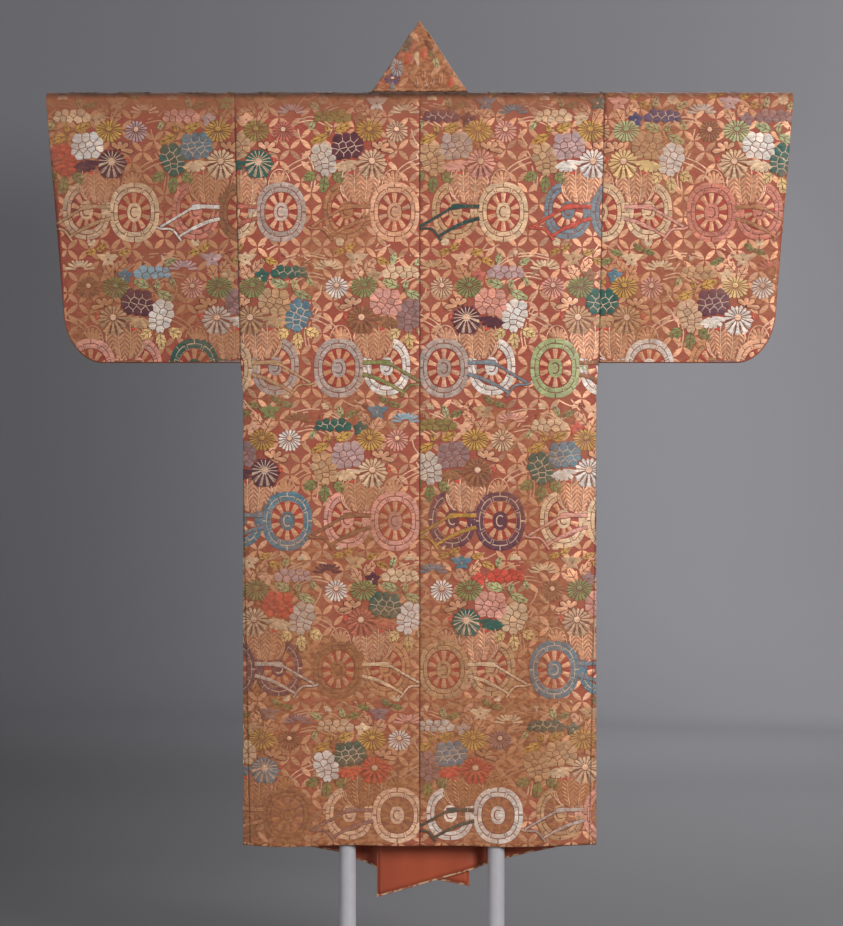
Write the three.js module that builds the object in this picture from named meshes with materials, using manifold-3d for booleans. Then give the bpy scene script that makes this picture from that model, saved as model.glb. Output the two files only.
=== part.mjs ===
import * as THREE from 'three';
import { mergeVertices } from 'three/addons/utils/BufferGeometryUtils.js';
import Module from 'manifold-3d';

// A noh robe hanging flat on a two-post display stand, in millimetres.
// The floor is z = 0, the robe's back faces -Y and the wearer's left is -X.

// Cloth
const clothThickness = 2;
const liningThickness = 1;
const seamGap = 0.3;
const hemRim = 4;

// Heights above the floor
const shoulderTop = 1684;
const neckBase = shoulderTop + 2 * seamGap;
const collarFoldTop = 1811;
const collarPoint = 1812;
const wristBottom = 1434;
const sleeveBottom = 1168;
const collarEnd = 884;
const overlapPointDrop = 75;
const liningTop = 780;
const backHem = 247;

// Half widths from the centre back seam
const neckHalfWidth = 92;
const shoulderHalfWidth = 352;
const armholeHalfWidth = 342;
const bodyHalfWidth = 337;
const sleeveReach = 713;
const sideTaper = 80;

// The shoulder fold goes round the padded crossbar
const barRadius = 20;
const barHalfLength = 700;
const foldRadius = barRadius + seamGap + clothThickness / 2;
const barHeight = shoulderTop - foldRadius - clothThickness / 2;
const foldSteps = 6;

// Half the distance between the back and front sheets where they are sewn together
const seamHalfDepth = clothThickness / 2 + seamGap / 2;
const sleeveFoldRadius = 2.2;

// Round lower corner of the sleeve, and the places on the bar that its ends hang from
const cornerStart = 605;
const cornerWidth = 75;
const cornerHeight = 105;
const cornerHangStart = 628;
const cornerHangEnd = 698;

// Collar band
const bandLean = THREE.MathUtils.degToRad(20.2);
const backSheetDepth = -2.5;
const neckFoldDepth = 2.5;
const neckSeam = 0.8;
const collarLift = 1;
const bandBulge = 3;
const slantFoldRadius = 2.8;
const frontLayerFade = { low: 1600, high: 1655 };
const pleatFade = { low: 420, high: 1180 };

// Stand
const standCentre = 4;
const postSpacing = 284;
const postRadius = 16;
const basePlate = { width: 460, depth: 420, thickness: 6, corner: 30 };

// The two fronts. Places are measured from the centre seam towards each front's own side seam, so
// the edge that crosses the centre is negative. The left front lies over the right one.
// hem: how far the front hem hangs below the back hem. pleats: soft vertical folds, from the hem up.
const fronts = {
  left: {
    sign: -1,
    bandSeam: 35,
    freeEdge: -95,
    overlapSeam: 60,
    layer: 8,
    collarTopDepth: 5.5,
    mainPleat: 103,
    pleats: [
      { place: 103, spread: 11, depth: 15 },
      { place: 205, spread: 24, depth: 5 },
    ],
    hem: [
      { place: -95, drop: 83 },
      { place: -20, drop: 68 },
      { place: 83, drop: 48 },
      { place: 117, drop: 33 },
      { place: 150, drop: 17 },
      { place: 218, drop: 6 },
      { place: 337, drop: 0 },
    ],
  },
  right: {
    sign: 1,
    bandSeam: 48,
    freeEdge: -82,
    overlapSeam: 73,
    layer: 0,
    collarTopDepth: 1.5,
    mainPleat: 122,
    pleats: [
      { place: 122, spread: 11, depth: 15 },
      { place: 212, spread: 24, depth: 5 },
    ],
    hem: [
      { place: -82, drop: 103 },
      { place: 103, drop: 50 },
      { place: 122, drop: 44 },
      { place: 162, drop: 29 },
      { place: 267, drop: 6 },
      { place: 337, drop: 0 },
    ],
  },
};

const colours = {
  brocade: { color: 0xb2623f, roughness: 0.6, metalness: 0.15 },
  lining: { color: 0xc4553a, roughness: 0.7, metalness: 0 },
  post: { color: 0xb9b5b8, roughness: 0.45, metalness: 0.2 },
  padding: { color: 0xd9d4c8, roughness: 0.9, metalness: 0 },
};

const { lerp, clamp, smoothstep } = THREE.MathUtils;

// Value of a table's column at a place between its rows
function lookUp(rows, place, column) {
  if (place <= rows[0].place) return rows[0][column];
  for (let i = 1; i < rows.length; i += 1) {
    const low = rows[i - 1];
    const high = rows[i];
    if (place <= high.place) {
      return lerp(low[column], high[column], (place - low.place) / (high.place - low.place));
    }
  }
  return rows[rows.length - 1][column];
}

// A closed wall on a grid of middle points. keep(row, column) says which cells are cloth. In a
// straight wall the thickness never leans sideways, so its seam edges stay square to the seam.
function wallFromGrid(grid, thickness, { keep = () => true, straight = false } = {}) {
  const rows = grid.length;
  const columns = grid[0].length;
  const positions = [];
  const along = new THREE.Vector3();
  const across = new THREE.Vector3();
  const normal = new THREE.Vector3();
  for (let r = 0; r < rows; r += 1) {
    for (let c = 0; c < columns; c += 1) {
      along.subVectors(grid[Math.min(r + 1, rows - 1)][c], grid[Math.max(r - 1, 0)][c]);
      across.subVectors(grid[r][Math.min(c + 1, columns - 1)], grid[r][Math.max(c - 1, 0)]);
      normal.crossVectors(along, across);
      if (straight) normal.x = 0;
      normal.setLength(thickness / 2);
      const p = grid[r][c];
      positions.push(p.x + normal.x, p.y + normal.y, p.z + normal.z);
      positions.push(p.x - normal.x, p.y - normal.y, p.z - normal.z);
    }
  }
  const isCloth = (r, c) => r >= 0 && c >= 0 && r < rows - 1 && c < columns - 1 && keep(r, c);
  const front = ([r, c]) => 2 * (r * columns + c);
  const behind = (corner) => front(corner) + 1;
  const triangles = [];
  const quad = (a, b, c, d) => triangles.push(a, b, c, a, c, d);
  for (let r = 0; r < rows - 1; r += 1) {
    for (let c = 0; c < columns - 1; c += 1) {
      if (!isCloth(r, c)) continue;
      const corners = [[r, c], [r + 1, c], [r + 1, c + 1], [r, c + 1]];
      const neighbours = [[r, c - 1], [r + 1, c], [r, c + 1], [r - 1, c]];
      const [p, q, s, t] = corners;
      quad(front(p), front(q), front(s), front(t));
      quad(behind(p), behind(t), behind(s), behind(q));
      for (let side = 0; side < 4; side += 1) {
        if (isCloth(...neighbours[side])) continue;
        const a = corners[side];
        const b = corners[(side + 1) % 4];
        quad(front(b), front(a), behind(a), behind(b));
      }
    }
  }
  return indexedGeometry(positions, triangles);
}

// A closed wall between an outer and an inner row of rings
function wallFromRings(outer, inner) {
  const around = outer[0].length;
  const stations = outer.length;
  const positions = [...outer.flat(), ...inner.flat()].flatMap((p) => [p.x, p.y, p.z]);
  const outside = (s, i) => s * around + (i % around);
  const inside = (s, i) => stations * around + outside(s, i);
  const triangles = [];
  const quad = (a, b, c, d) => triangles.push(a, b, c, a, c, d);
  for (let i = 0; i < around; i += 1) {
    for (let s = 0; s < stations - 1; s += 1) {
      quad(outside(s, i), outside(s, i + 1), outside(s + 1, i + 1), outside(s + 1, i));
      quad(inside(s, i), inside(s + 1, i), inside(s + 1, i + 1), inside(s, i + 1));
    }
    const last = stations - 1;
    quad(outside(0, i), inside(0, i), inside(0, i + 1), outside(0, i + 1));
    quad(outside(last, i), outside(last, i + 1), inside(last, i + 1), inside(last, i));
  }
  return indexedGeometry(positions, triangles);
}

function indexedGeometry(positions, triangles) {
  const geometry = new THREE.BufferGeometry();
  geometry.setAttribute('position', new THREE.Float32BufferAttribute(positions, 3));
  geometry.setIndex(triangles);
  geometry.computeVertexNormals();
  return geometry;
}

// Body

function halfWidthAt(z) {
  if (z < sleeveBottom) {
    return lerp(bodyHalfWidth, armholeHalfWidth, clamp((z - sleeveBottom + 60) / 60, 0, 1));
  }
  const rise = clamp((z - sleeveBottom) / (barHeight - sleeveBottom), 0, 1);
  return lerp(armholeHalfWidth, shoulderHalfWidth, rise);
}

// Half the depth of the robe at its side edge: open at the armhole, closed along the side seam
function edgeDepthAt(z) {
  if (z < sleeveBottom) {
    return lerp(seamHalfDepth, sleeveFoldRadius, clamp((z - sleeveBottom + 20) / 20, 0, 1));
  }
  return lerp(sleeveFoldRadius, foldRadius, clamp((z - sleeveBottom) / (barHeight - sleeveBottom), 0, 1));
}

function sheetDepth(place, z) {
  const edge = edgeDepthAt(z);
  const nearSide = clamp((place - halfWidthAt(z) + sideTaper) / sideTaper, 0, 1);
  return edge + (foldRadius - edge) * Math.cos((nearSide * Math.PI) / 2);
}

// Height where a front's collar band turns from slanting to hanging straight down
function bandTurn(front) {
  return neckBase - (neckHalfWidth - front.bandSeam) / Math.tan(bandLean);
}

// Height of the overlap panel's top point
function overlapPoint(front) {
  return bandTurn(front) - overlapPointDrop;
}

// Inner edge of a front: the overlap panel's seam below, the collar's seam above
function innerEdgeAt(front, z) {
  if (z > bandTurn(front)) {
    return front.bandSeam + neckSeam + (z - bandTurn(front)) * Math.tan(bandLean);
  }
  const top = overlapPoint(front);
  if (z > top) return front.bandSeam + neckSeam;
  const rise = clamp((z - backHem) / (top - backHem), 0, 1);
  return lerp(front.overlapSeam, front.bandSeam + 3, rise);
}

// The front sheet's depth, with its pleats, and its step over the other front
function frontDepth(front, place, z) {
  const flatEdge = halfWidthAt(z) - sideTaper;
  const inner = innerEdgeAt(front, z);
  const fade = 1 - smoothstep(z, pleatFade.low, pleatFade.high);
  let depth = sheetDepth(Math.max(place, 0), z);
  const step = 1 - smoothstep(place, front.mainPleat - 15, front.mainPleat + 45);
  depth += front.layer * step * (1 - smoothstep(z, frontLayerFade.low, frontLayerFade.high));
  for (const pleat of front.pleats) {
    const share = (pleat.place - front.overlapSeam) / (bodyHalfWidth - sideTaper - front.overlapSeam);
    const centre = lerp(inner, flatEdge, share);
    depth += fade * pleat.depth * Math.exp(-0.5 * ((place - centre) / pleat.spread) ** 2);
  }
  return depth;
}

// A front hangs lower than the back towards its free edge
function frontHeight(front, place, level) {
  const share = clamp((sleeveBottom - level) / (sleeveBottom - backHem), 0, 1);
  return level - share * lookUp(front.hem, place, 'drop');
}

function levelsOf(front) {
  return [
    backHem, 340, 450, 560, 670, liningTop, collarEnd, 980, 1080, 1130, 1150, sleeveBottom,
    1250, 1350, overlapPoint(front), bandTurn(front), 1620, barHeight,
  ];
}

// Places of the columns from an inner edge out to the side: close round the main pleat, then even,
// then close again where the sheet tapers to the side
function panelPlaces(front, inner, z) {
  const flatEdge = halfWidthAt(z) - sideTaper;
  const hemEdge = bodyHalfWidth - sideTaper;
  const pleat = front.mainPleat;
  const hemPlaces = [pleat - 24, pleat - 12, pleat, pleat + 12, pleat + 24, pleat + 65, pleat + 105];
  const shares = hemPlaces.map((place) => (place - front.overlapSeam) / (hemEdge - front.overlapSeam));
  const flat = [0, ...shares, 1].map((share) => lerp(inner, flatEdge, share));
  return [...flat, flatEdge + 24, flatEdge + 46, flatEdge + 65, flatEdge + sideTaper];
}

// The first two columns are the back of the neck. The front has no cloth there.
const neckColumns = 2;

// One loom width from the back hem, up, over the bar and down to the front hem
function bodyGrid(front) {
  const levels = levelsOf(front);
  const grid = [];
  const addRow = (places, pointAt) => {
    grid.push(places.map((place) => {
      const point = pointAt(place);
      point.x = front.sign * place;
      return point;
    }));
  };
  const backPlaces = (z) => [
    seamGap / 2, neckHalfWidth / 2, ...panelPlaces(front, neckHalfWidth, z),
  ];
  const frontPlaces = (z) => {
    const inner = innerEdgeAt(front, z);
    return [inner - 40, inner - 20, ...panelPlaces(front, inner, z)];
  };
  for (const z of levels) {
    addRow(backPlaces(z), (place) => new THREE.Vector3(0, -sheetDepth(place, z), z));
  }
  for (let step = 1; step <= 2 * foldSteps; step += 1) {
    const angle = (step / foldSteps) * (Math.PI / 2);
    const y = -foldRadius * Math.cos(angle);
    const z = barHeight + foldRadius * Math.sin(angle);
    const places = step <= foldSteps ? backPlaces(z) : frontPlaces(z);
    addRow(places, () => new THREE.Vector3(0, y, z));
  }
  for (const level of levels.slice(0, -1).reverse()) {
    addRow(frontPlaces(level), (place) => {
      const z = frontHeight(front, place, level);
      return new THREE.Vector3(0, frontDepth(front, place, level), z);
    });
  }
  return grid;
}

function body(front) {
  const neckRow = levelsOf(front).length - 1 + foldSteps;
  const keep = (row, column) => row < neckRow || column >= neckColumns;
  return wallFromGrid(bodyGrid(front), clothThickness, { keep, straight: true });
}

// Overlap panels, from the free edge out to the body seam

function overlapPlaces(front, z) {
  const seam = innerEdgeAt(front, z) - seamGap;
  const band = front.bandSeam + neckSeam;
  const wide = [0, 1 / 3, 2 / 3, 1].map((share) => lerp(front.freeEdge, band, share));
  return [...wide, seam];
}

// Rows from a level down to the hem, as on the body's fronts
function levelsBelow(front, top) {
  return levelsOf(front).filter((level) => level <= top).reverse();
}

function overlapPanel(front) {
  const levels = levelsBelow(front, overlapPoint(front));
  const grid = levels.map((level) => overlapPlaces(front, level).map((place) => new THREE.Vector3(
    front.sign * place,
    frontDepth(front, place, level),
    frontHeight(front, place, level),
  )));
  const narrow = grid[0].length - 2;
  const keep = (row, column) => column === narrow || levels[row] <= collarEnd;
  return wallFromGrid(grid, clothThickness, { keep, straight: true });
}

// Linings, on the inside of the overlap panel and the body front together

function lining(front) {
  const inset = clothThickness / 2 + seamGap + liningThickness / 2;
  const grid = levelsBelow(front, liningTop).map((level) => {
    const inner = innerEdgeAt(front, level);
    const overlap = overlapPlaces(front, level).slice(0, -1);
    const panel = panelPlaces(front, inner, level).slice(0, -2);
    overlap[0] += hemRim;
    return [...overlap, ...panel].map((place) => new THREE.Vector3(
      front.sign * place,
      frontDepth(front, place, level) - inset,
      frontHeight(front, place, level) + (level === backHem ? hemRim : 0),
    ));
  });
  return wallFromGrid(grid, liningThickness, { straight: true });
}

// Sleeves

// Outer edge of the sleeve above its round corner
function sleeveEdgeAt(z) {
  const cornerTop = sleeveBottom + cornerHeight;
  const cornerReach = cornerStart + cornerWidth;
  return lerp(sleeveReach, cornerReach, (shoulderTop - z) / (shoulderTop - cornerTop));
}

// Place on the bar and point on the lower outline of each ring, from the armhole to the wrist
function sleeveStations() {
  const start = armholeHalfWidth + seamGap;
  const stations = [];
  for (const share of [0, 0.25, 0.5, 0.75]) {
    stations.push({
      top: lerp(shoulderHalfWidth + seamGap, cornerHangStart, share),
      x: lerp(start, cornerStart, share),
      z: sleeveBottom,
    });
  }
  const cornerSteps = 6;
  for (let i = 0; i <= cornerSteps; i += 1) {
    const angle = (i / cornerSteps) * (Math.PI / 2);
    stations.push({
      top: lerp(cornerHangStart, cornerHangEnd, i / cornerSteps),
      x: cornerStart + cornerWidth * Math.sin(angle),
      z: sleeveBottom + cornerHeight * (1 - Math.cos(angle)),
    });
  }
  for (const z of [(sleeveBottom + cornerHeight + wristBottom) / 2, wristBottom]) {
    const share = (z - sleeveBottom - cornerHeight) / (wristBottom - sleeveBottom - cornerHeight);
    stations.push({ top: lerp(cornerHangEnd, sleeveEdgeAt(barHeight), share), x: sleeveEdgeAt(z), z });
  }
  return stations;
}

// A loop round the bar above and round the closed lower edge, with straight sides between
function sleeveRing(station, sign, offset) {
  const centre = new THREE.Vector3(sign * station.top, 0, barHeight);
  const low = new THREE.Vector3(sign * station.x, 0, station.z);
  const down = new THREE.Vector3().subVectors(low, centre).normalize();
  const lowCentre = low.clone().addScaledVector(down, -(sleeveFoldRadius + clothThickness / 2));
  const tilt = Math.asin((foldRadius - sleeveFoldRadius) / centre.distanceTo(lowCentre));
  const arc = (origin, radius, from, turn, steps) => Array.from({ length: steps + 1 }, (_, i) => {
    const angle = from + (i / steps) * turn;
    const point = origin.clone().addScaledVector(down, -radius * Math.sin(angle));
    point.y -= radius * Math.cos(angle);
    return point;
  });
  const top = arc(centre, foldRadius + offset, -tilt, Math.PI + 2 * tilt, 2 * foldSteps);
  const bottom = arc(lowCentre, sleeveFoldRadius + offset, Math.PI + tilt, Math.PI - 2 * tilt, 4);
  const side = (from, to) => [0.2, 0.4, 0.6, 0.8].map((share) => from.clone().lerp(to, share));
  const ring = [...top, ...side(top.at(-1), bottom[0]), ...bottom, ...side(bottom.at(-1), top[0])];
  return sign > 0 ? ring.reverse() : ring;
}

function sleeve(front) {
  const stations = sleeveStations();
  const rings = (offset) => stations.map((station) => sleeveRing(station, front.sign, offset));
  return wallFromRings(rings(clothThickness / 2), rings(-clothThickness / 2));
}

// Collar: one band, its rows running across it from the sewn edge to the free edge. It goes up the
// left front, folds forward along a slant on each side of the neck, and goes down the right front.

const bandShares = [0, 0.2, 0.4, 0.6, 0.8, 1];

// A point of the slanting fold beside the neck
function slantPoint(share) {
  const height = share * (collarFoldTop - neckBase);
  const slantHeight = neckHalfWidth * Math.tan((Math.PI / 2 + bandLean) / 2);
  return { place: neckHalfWidth * (1 - height / slantHeight), z: neckBase + height };
}

// Depth of the band's sewn edge, which lies a little proud of the cloth over the bar
function sewnDepth(front, place, z) {
  const lift = collarLift * smoothstep(z, frontLayerFade.low, barHeight);
  if (z <= barHeight) return frontDepth(front, place, z) + lift;
  const radius = foldRadius + collarLift;
  const rise = Math.min(z - barHeight, radius);
  return Math.sqrt(radius ** 2 - rise ** 2);
}

// Depth of the rest of the band, which leans forward from its top and passes in front of the bar
function leaningDepth(front, z) {
  const hanging = foldRadius + front.layer;
  if (z < shoulderTop) return hanging + bandBulge * smoothstep(z, frontLayerFade.low, shoulderTop);
  const fall = clamp((collarFoldTop - z) / (collarFoldTop - shoulderTop), 0, 1);
  return lerp(front.collarTopDepth, hanging + bandBulge, fall);
}

// One row across the flap that hangs in front of the neck, share 0 at the slant and 1 at the turn
function flapRow(front, share) {
  const fallAt = (place, edge) => ((place - edge) / Math.sin(bandLean)) * share;
  const top = slantPoint(1);
  const sewnFall = fallAt(neckHalfWidth, front.bandSeam);
  const freeFall = fallAt(top.place, front.freeEdge);
  const sewn = {
    place: neckHalfWidth - sewnFall * Math.sin(bandLean),
    z: neckBase - sewnFall * Math.cos(bandLean),
  };
  const free = {
    place: top.place - freeFall * Math.sin(bandLean),
    z: top.z - freeFall * Math.cos(bandLean),
  };
  return bandShares.map((w) => {
    const place = lerp(sewn.place, free.place, w);
    const z = lerp(sewn.z, free.z, w);
    const depth = w === 0 ? sewnDepth(front, place, z) : leaningDepth(front, z);
    return new THREE.Vector3(front.sign * place, depth, z);
  });
}

// Rows of the rounded fold, from the back sheet to the front flap
function slantRows(front) {
  const outward = (Math.PI / 2 + bandLean) / 2;
  const steps = 5;
  const rows = [];
  for (let i = 0; i <= steps; i += 1) {
    const angle = -Math.PI / 2 + (i / steps) * Math.PI;
    rows.push(bandShares.map((w) => {
      const point = slantPoint(w);
      const frontY = w === 0 ? neckFoldDepth : leaningDepth(front, point.z);
      const radius = (frontY - backSheetDepth) / 2;
      const inset = Math.min(radius, slantFoldRadius) * (1 - Math.cos(angle));
      return new THREE.Vector3(
        front.sign * (point.place - inset * Math.sin(outward)),
        (frontY + backSheetDepth) / 2 + radius * Math.sin(angle),
        point.z - (w === 0 ? 0 : inset * Math.cos(outward)),
      );
    }));
  }
  return rows;
}

// Rows from the turn down to the end of the band
function hangingRows(front) {
  const levels = levelsOf(front).filter((z) => z > collarEnd && z < bandTurn(front) - 1);
  return [collarEnd + seamGap, ...levels].map((z) => bandShares.map((w) => {
    const place = lerp(front.bandSeam, front.freeEdge, w);
    return new THREE.Vector3(front.sign * place, frontDepth(front, place, z), z);
  }));
}

function frontBandRows(front) {
  const flapShares = [1, 0.75, 0.5, 0.3, 0.2, 0.13, 0.09, 0.06, 0.03];
  return [...hangingRows(front), ...flapShares.map((share) => flapRow(front, share))];
}

function collar() {
  const leftFold = slantRows(fronts.left).reverse();
  const rightFold = slantRows(fronts.right);
  const from = leftFold[leftFold.length - 1];
  const to = rightFold[0];
  const middle = bandShares.map((w, column) => {
    const point = from[column].clone().lerp(to[column], 0.5);
    point.z += (collarPoint - collarFoldTop) * w;
    return point;
  });
  const grid = [
    ...frontBandRows(fronts.left), ...leftFold, middle,
    ...rightFold, ...frontBandRows(fronts.right).reverse(),
  ];
  return wallFromGrid(grid, clothThickness);
}

// Stand

async function standPosts() {
  const wasm = await Module();
  wasm.setup();
  const solidOf = (geometry) => {
    const bare = geometry.clone();
    bare.deleteAttribute('normal');
    bare.deleteAttribute('uv');
    const merged = mergeVertices(bare, 1e-4);
    return new wasm.Manifold(new wasm.Mesh({
      numProp: 3,
      vertProperties: new Float32Array(merged.attributes.position.array),
      triVerts: new Uint32Array(merged.index.array),
    }));
  };
  const saddleRadius = barRadius + seamGap;
  const saddle = new THREE.CylinderGeometry(saddleRadius, saddleRadius, 2 * barHalfLength, 48);
  saddle.rotateZ(Math.PI / 2);
  saddle.translate(0, 0, barHeight);
  const foot = basePlate.thickness + seamGap;
  const length = barHeight - foot;
  return [-1, 1].map((sign) => {
    const post = new THREE.CylinderGeometry(postRadius, postRadius, length, 28);
    post.rotateX(Math.PI / 2);
    post.translate(standCentre + (sign * postSpacing) / 2, 0, foot + length / 2);
    const cut = solidOf(post).subtract(solidOf(saddle)).getMesh();
    return indexedGeometry(Array.from(cut.vertProperties), Array.from(cut.triVerts));
  });
}

function standBar() {
  const bar = new THREE.CylinderGeometry(barRadius, barRadius, 2 * barHalfLength, 48);
  bar.rotateZ(Math.PI / 2);
  bar.translate(0, 0, barHeight);
  return bar;
}

function standBase() {
  const { width, depth, thickness, corner } = basePlate;
  const x = width / 2;
  const y = depth / 2;
  const outline = new THREE.Shape();
  outline.moveTo(x, -y + corner);
  outline.absarc(x - corner, y - corner, corner, 0, Math.PI / 2);
  outline.absarc(-x + corner, y - corner, corner, Math.PI / 2, Math.PI);
  outline.absarc(-x + corner, -y + corner, corner, Math.PI, 1.5 * Math.PI);
  outline.absarc(x - corner, -y + corner, corner, 1.5 * Math.PI, 2 * Math.PI);
  const options = { depth: thickness, bevelEnabled: false, curveSegments: 8 };
  const plate = new THREE.ExtrudeGeometry(outline, options);
  plate.translate(standCentre, 0, 0);
  return plate;
}

// Assembly

const robe = new THREE.Group();

function addMesh(name, geometry, finish) {
  const mesh = new THREE.Mesh(geometry, new THREE.MeshStandardMaterial(finish));
  mesh.name = name;
  robe.add(mesh);
}

for (const [name, front] of Object.entries(fronts)) {
  addMesh(`body_${name}`, body(front), colours.brocade);
  addMesh(`overlap_${name}`, overlapPanel(front), colours.brocade);
  addMesh(`sleeve_${name}`, sleeve(front), colours.brocade);
  addMesh(`lining_${name}`, lining(front), colours.lining);
}
addMesh('collar', collar(), colours.brocade);

const [leftPost, rightPost] = await standPosts();
addMesh('stand_post_left', leftPost, colours.post);
addMesh('stand_post_right', rightPost, colours.post);
addMesh('stand_bar', standBar(), colours.padding);
addMesh('stand_base', standBase(), colours.post);

export default robe;
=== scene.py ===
import math
from types import SimpleNamespace

import bpy
import numpy as np
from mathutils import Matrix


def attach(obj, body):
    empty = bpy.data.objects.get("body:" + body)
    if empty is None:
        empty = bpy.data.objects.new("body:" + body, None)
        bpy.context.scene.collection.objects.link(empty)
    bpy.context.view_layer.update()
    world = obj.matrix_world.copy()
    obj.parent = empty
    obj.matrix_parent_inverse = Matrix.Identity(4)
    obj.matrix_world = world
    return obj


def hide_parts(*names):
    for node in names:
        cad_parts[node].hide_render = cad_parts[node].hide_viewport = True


# A noh robe of flower-cart brocade, seen from the back on its two-post stand.
# Sizes and places are in millimetres, in the frame of the model, and become metres in a mesh.
# The robe's back faces -Y and the wearer's left is -X.

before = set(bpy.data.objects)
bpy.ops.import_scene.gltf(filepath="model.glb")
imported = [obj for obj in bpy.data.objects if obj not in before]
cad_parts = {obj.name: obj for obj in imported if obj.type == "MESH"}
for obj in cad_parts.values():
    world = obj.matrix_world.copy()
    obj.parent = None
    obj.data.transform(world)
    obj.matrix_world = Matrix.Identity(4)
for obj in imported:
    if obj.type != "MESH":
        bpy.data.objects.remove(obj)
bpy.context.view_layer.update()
MM = 0.001
chance = np.random.default_rng(7)

# Camera: level with the middle of the picture, straight behind the robe

CAMERA_DISTANCE = 6000
BACK_SHEET = -22
PICTURE_HEIGHT = 1762.6
PICTURE_CENTRE = (3.4, 976.1)
SENSOR = 36


def make_camera():
    data = bpy.data.cameras.new("camera")
    data.sensor_width = SENSOR
    data.lens = SENSOR * CAMERA_DISTANCE / PICTURE_HEIGHT
    camera = bpy.data.objects.new("camera", data)
    x, z = PICTURE_CENTRE
    camera.location = (x * MM, (BACK_SHEET - CAMERA_DISTANCE) * MM, z * MM)
    camera.rotation_euler = (math.radians(90), 0, 0)
    bpy.context.scene.collection.objects.link(camera)
    bpy.context.scene.camera = camera


make_camera()

# Cloth sizes, as in the solids

CLOTH = 1.8
LINING_CLOTH = 0.9
SEAM_GAP = 0.3
SHOULDER_TOP = 1684
NECK_BASE = 1684.6
COLLAR_TOP = 1811
COLLAR_POINT = 1812
WRIST_BOTTOM = 1434
SLEEVE_BOTTOM = 1168
COLLAR_END = 884
OVERLAP_DROP = 75
LINING_TOP = 780
BACK_HEM = 247
HEM_RIM = 4
NECK_HALF_WIDTH = 92
SHOULDER_HALF_WIDTH = 352
ARMHOLE_HALF_WIDTH = 342
BODY_HALF_WIDTH = 337
SLEEVE_REACH = 713
SIDE_TAPER = 80
FOLD_RADIUS = 21.3
BAR_HEIGHT = 1661.7
RIDGE = BAR_HEIGHT + FOLD_RADIUS * math.pi / 2
SEAM_DEPTH = 1.15
SLEEVE_FOLD = 2.2
CORNER_START = 605
CORNER_WIDTH = 75
CORNER_HEIGHT = 105
CORNER_HANG = (628, 698)
BAND_LEAN = math.radians(20.2)
BAND_WIDTH = 130
BACK_SHEET_DEPTH = -2.5
NECK_FOLD_DEPTH = 2.5
NECK_SEAM = 0.8
COLLAR_LIFT = 1
BAND_BULGE = 3
SLANT_RADIUS = 2.8
LAYER_FADE = (1600, 1655)
PLEAT_FADE = (420, 1180)
LAYER_STEP = (15, 45)
EASE = (50, 110)
ARMHOLE_FLARE = 60
ARMHOLE_TUCK = 20
ARMHOLE_DEPTH = 493
SEAM_ROOM = 0.4
EDGE_ROOM = 0.6

left = SimpleNamespace(
    name="left", sign=-1, band_seam=35, free_edge=-95, overlap_seam=60, layer=8, top_depth=5.5,
    main_pleat=103, pleats=((103, 11, 15), (205, 24, 5)),
    hem=((-95, 83), (-20, 68), (83, 48), (117, 33), (150, 17), (218, 6), (337, 0)),
)
right = SimpleNamespace(
    name="right", sign=1, band_seam=48, free_edge=-82, overlap_seam=73, layer=0, top_depth=1.5,
    main_pleat=122, pleats=((122, 11, 15), (212, 24, 5)),
    hem=((-82, 103), (103, 50), (122, 44), (162, 29), (267, 6), (337, 0)),
)


def lerp(a, b, t):
    return a + (b - a) * t


def ramp(x, low, high):
    return np.clip((x - low) / (high - low), 0, 1)


def smooth(x, low, high):
    t = ramp(x, low, high)
    return t * t * (3 - 2 * t)


def stack(x, y, z):
    return np.stack(np.broadcast_arrays(x, y, z), axis=-1).astype(float)


# Creases: soft ridges of one sheet, (x, z, degrees from upright, length, width, height)

BACK_CREASES = (
    (-118, 1430, 4, 420, 26, 2.6), (146, 1400, -3, 480, 22, 2.2), (-262, 1180, 6, 380, 20, 1.8),
    (268, 1240, -8, 300, 18, 2.0), (30, 1090, 2, 520, 30, 1.6), (-60, 820, -2, 560, 24, 2.4),
    (92, 700, 3, 620, 20, 2.8), (-214, 640, 1, 540, 26, 3.0), (232, 560, -3, 500, 22, 3.2),
    (-150, 380, 3, 260, 15, 2.6), (34, 360, -4, 240, 17, 2.4), (180, 330, 5, 180, 12, 2.0),
    (-290, 420, -3, 300, 14, 2.2), (-170, 519, 90, 330, 2.6, 1.5), (160, 521, 90, 350, 3, 1.2),
    (-40, 1596, 84, 170, 8, 1.1), (214, 1604, 97, 190, 7, 1.0),
    (-452, 1420, 12, 300, 22, 3.0), (-560, 1330, -6, 260, 18, 2.4), (-628, 1520, 8, 230, 16, 2.0),
    (470, 1400, -10, 320, 20, 2.8), (566, 1340, 7, 240, 18, 2.2), (640, 1500, -7, 220, 15, 2.2),
    (-400, 1290, 40, 170, 12, 1.6), (404, 1300, -44, 160, 11, 1.5),
)
FRONT_CREASES = (
    (-190, 1400, 5, 460, 24, 2.4), (196, 1380, -6, 430, 22, 2.6), (-252, 1080, -3, 420, 20, 2.0),
    (260, 1010, 4, 460, 23, 2.2), (-170, 760, 3, 380, 22, 2.6), (196, 690, -2, 420, 26, 2.4),
    (-286, 520, -5, 360, 18, 2.2), (282, 430, 4, 300, 15, 2.6), (-216, 518, 90, 200, 2.6, 1.3),
    (214, 520, 90, 220, 3, 1.4), (-448, 1410, -9, 330, 21, 2.8), (-590, 1380, 7, 250, 17, 2.2),
    (480, 1430, 8, 300, 22, 2.6), (600, 1340, -8, 260, 16, 2.4), (402, 1290, 42, 160, 11, 1.5),
)
CREASE_TOP = (1600, 1650)


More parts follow.
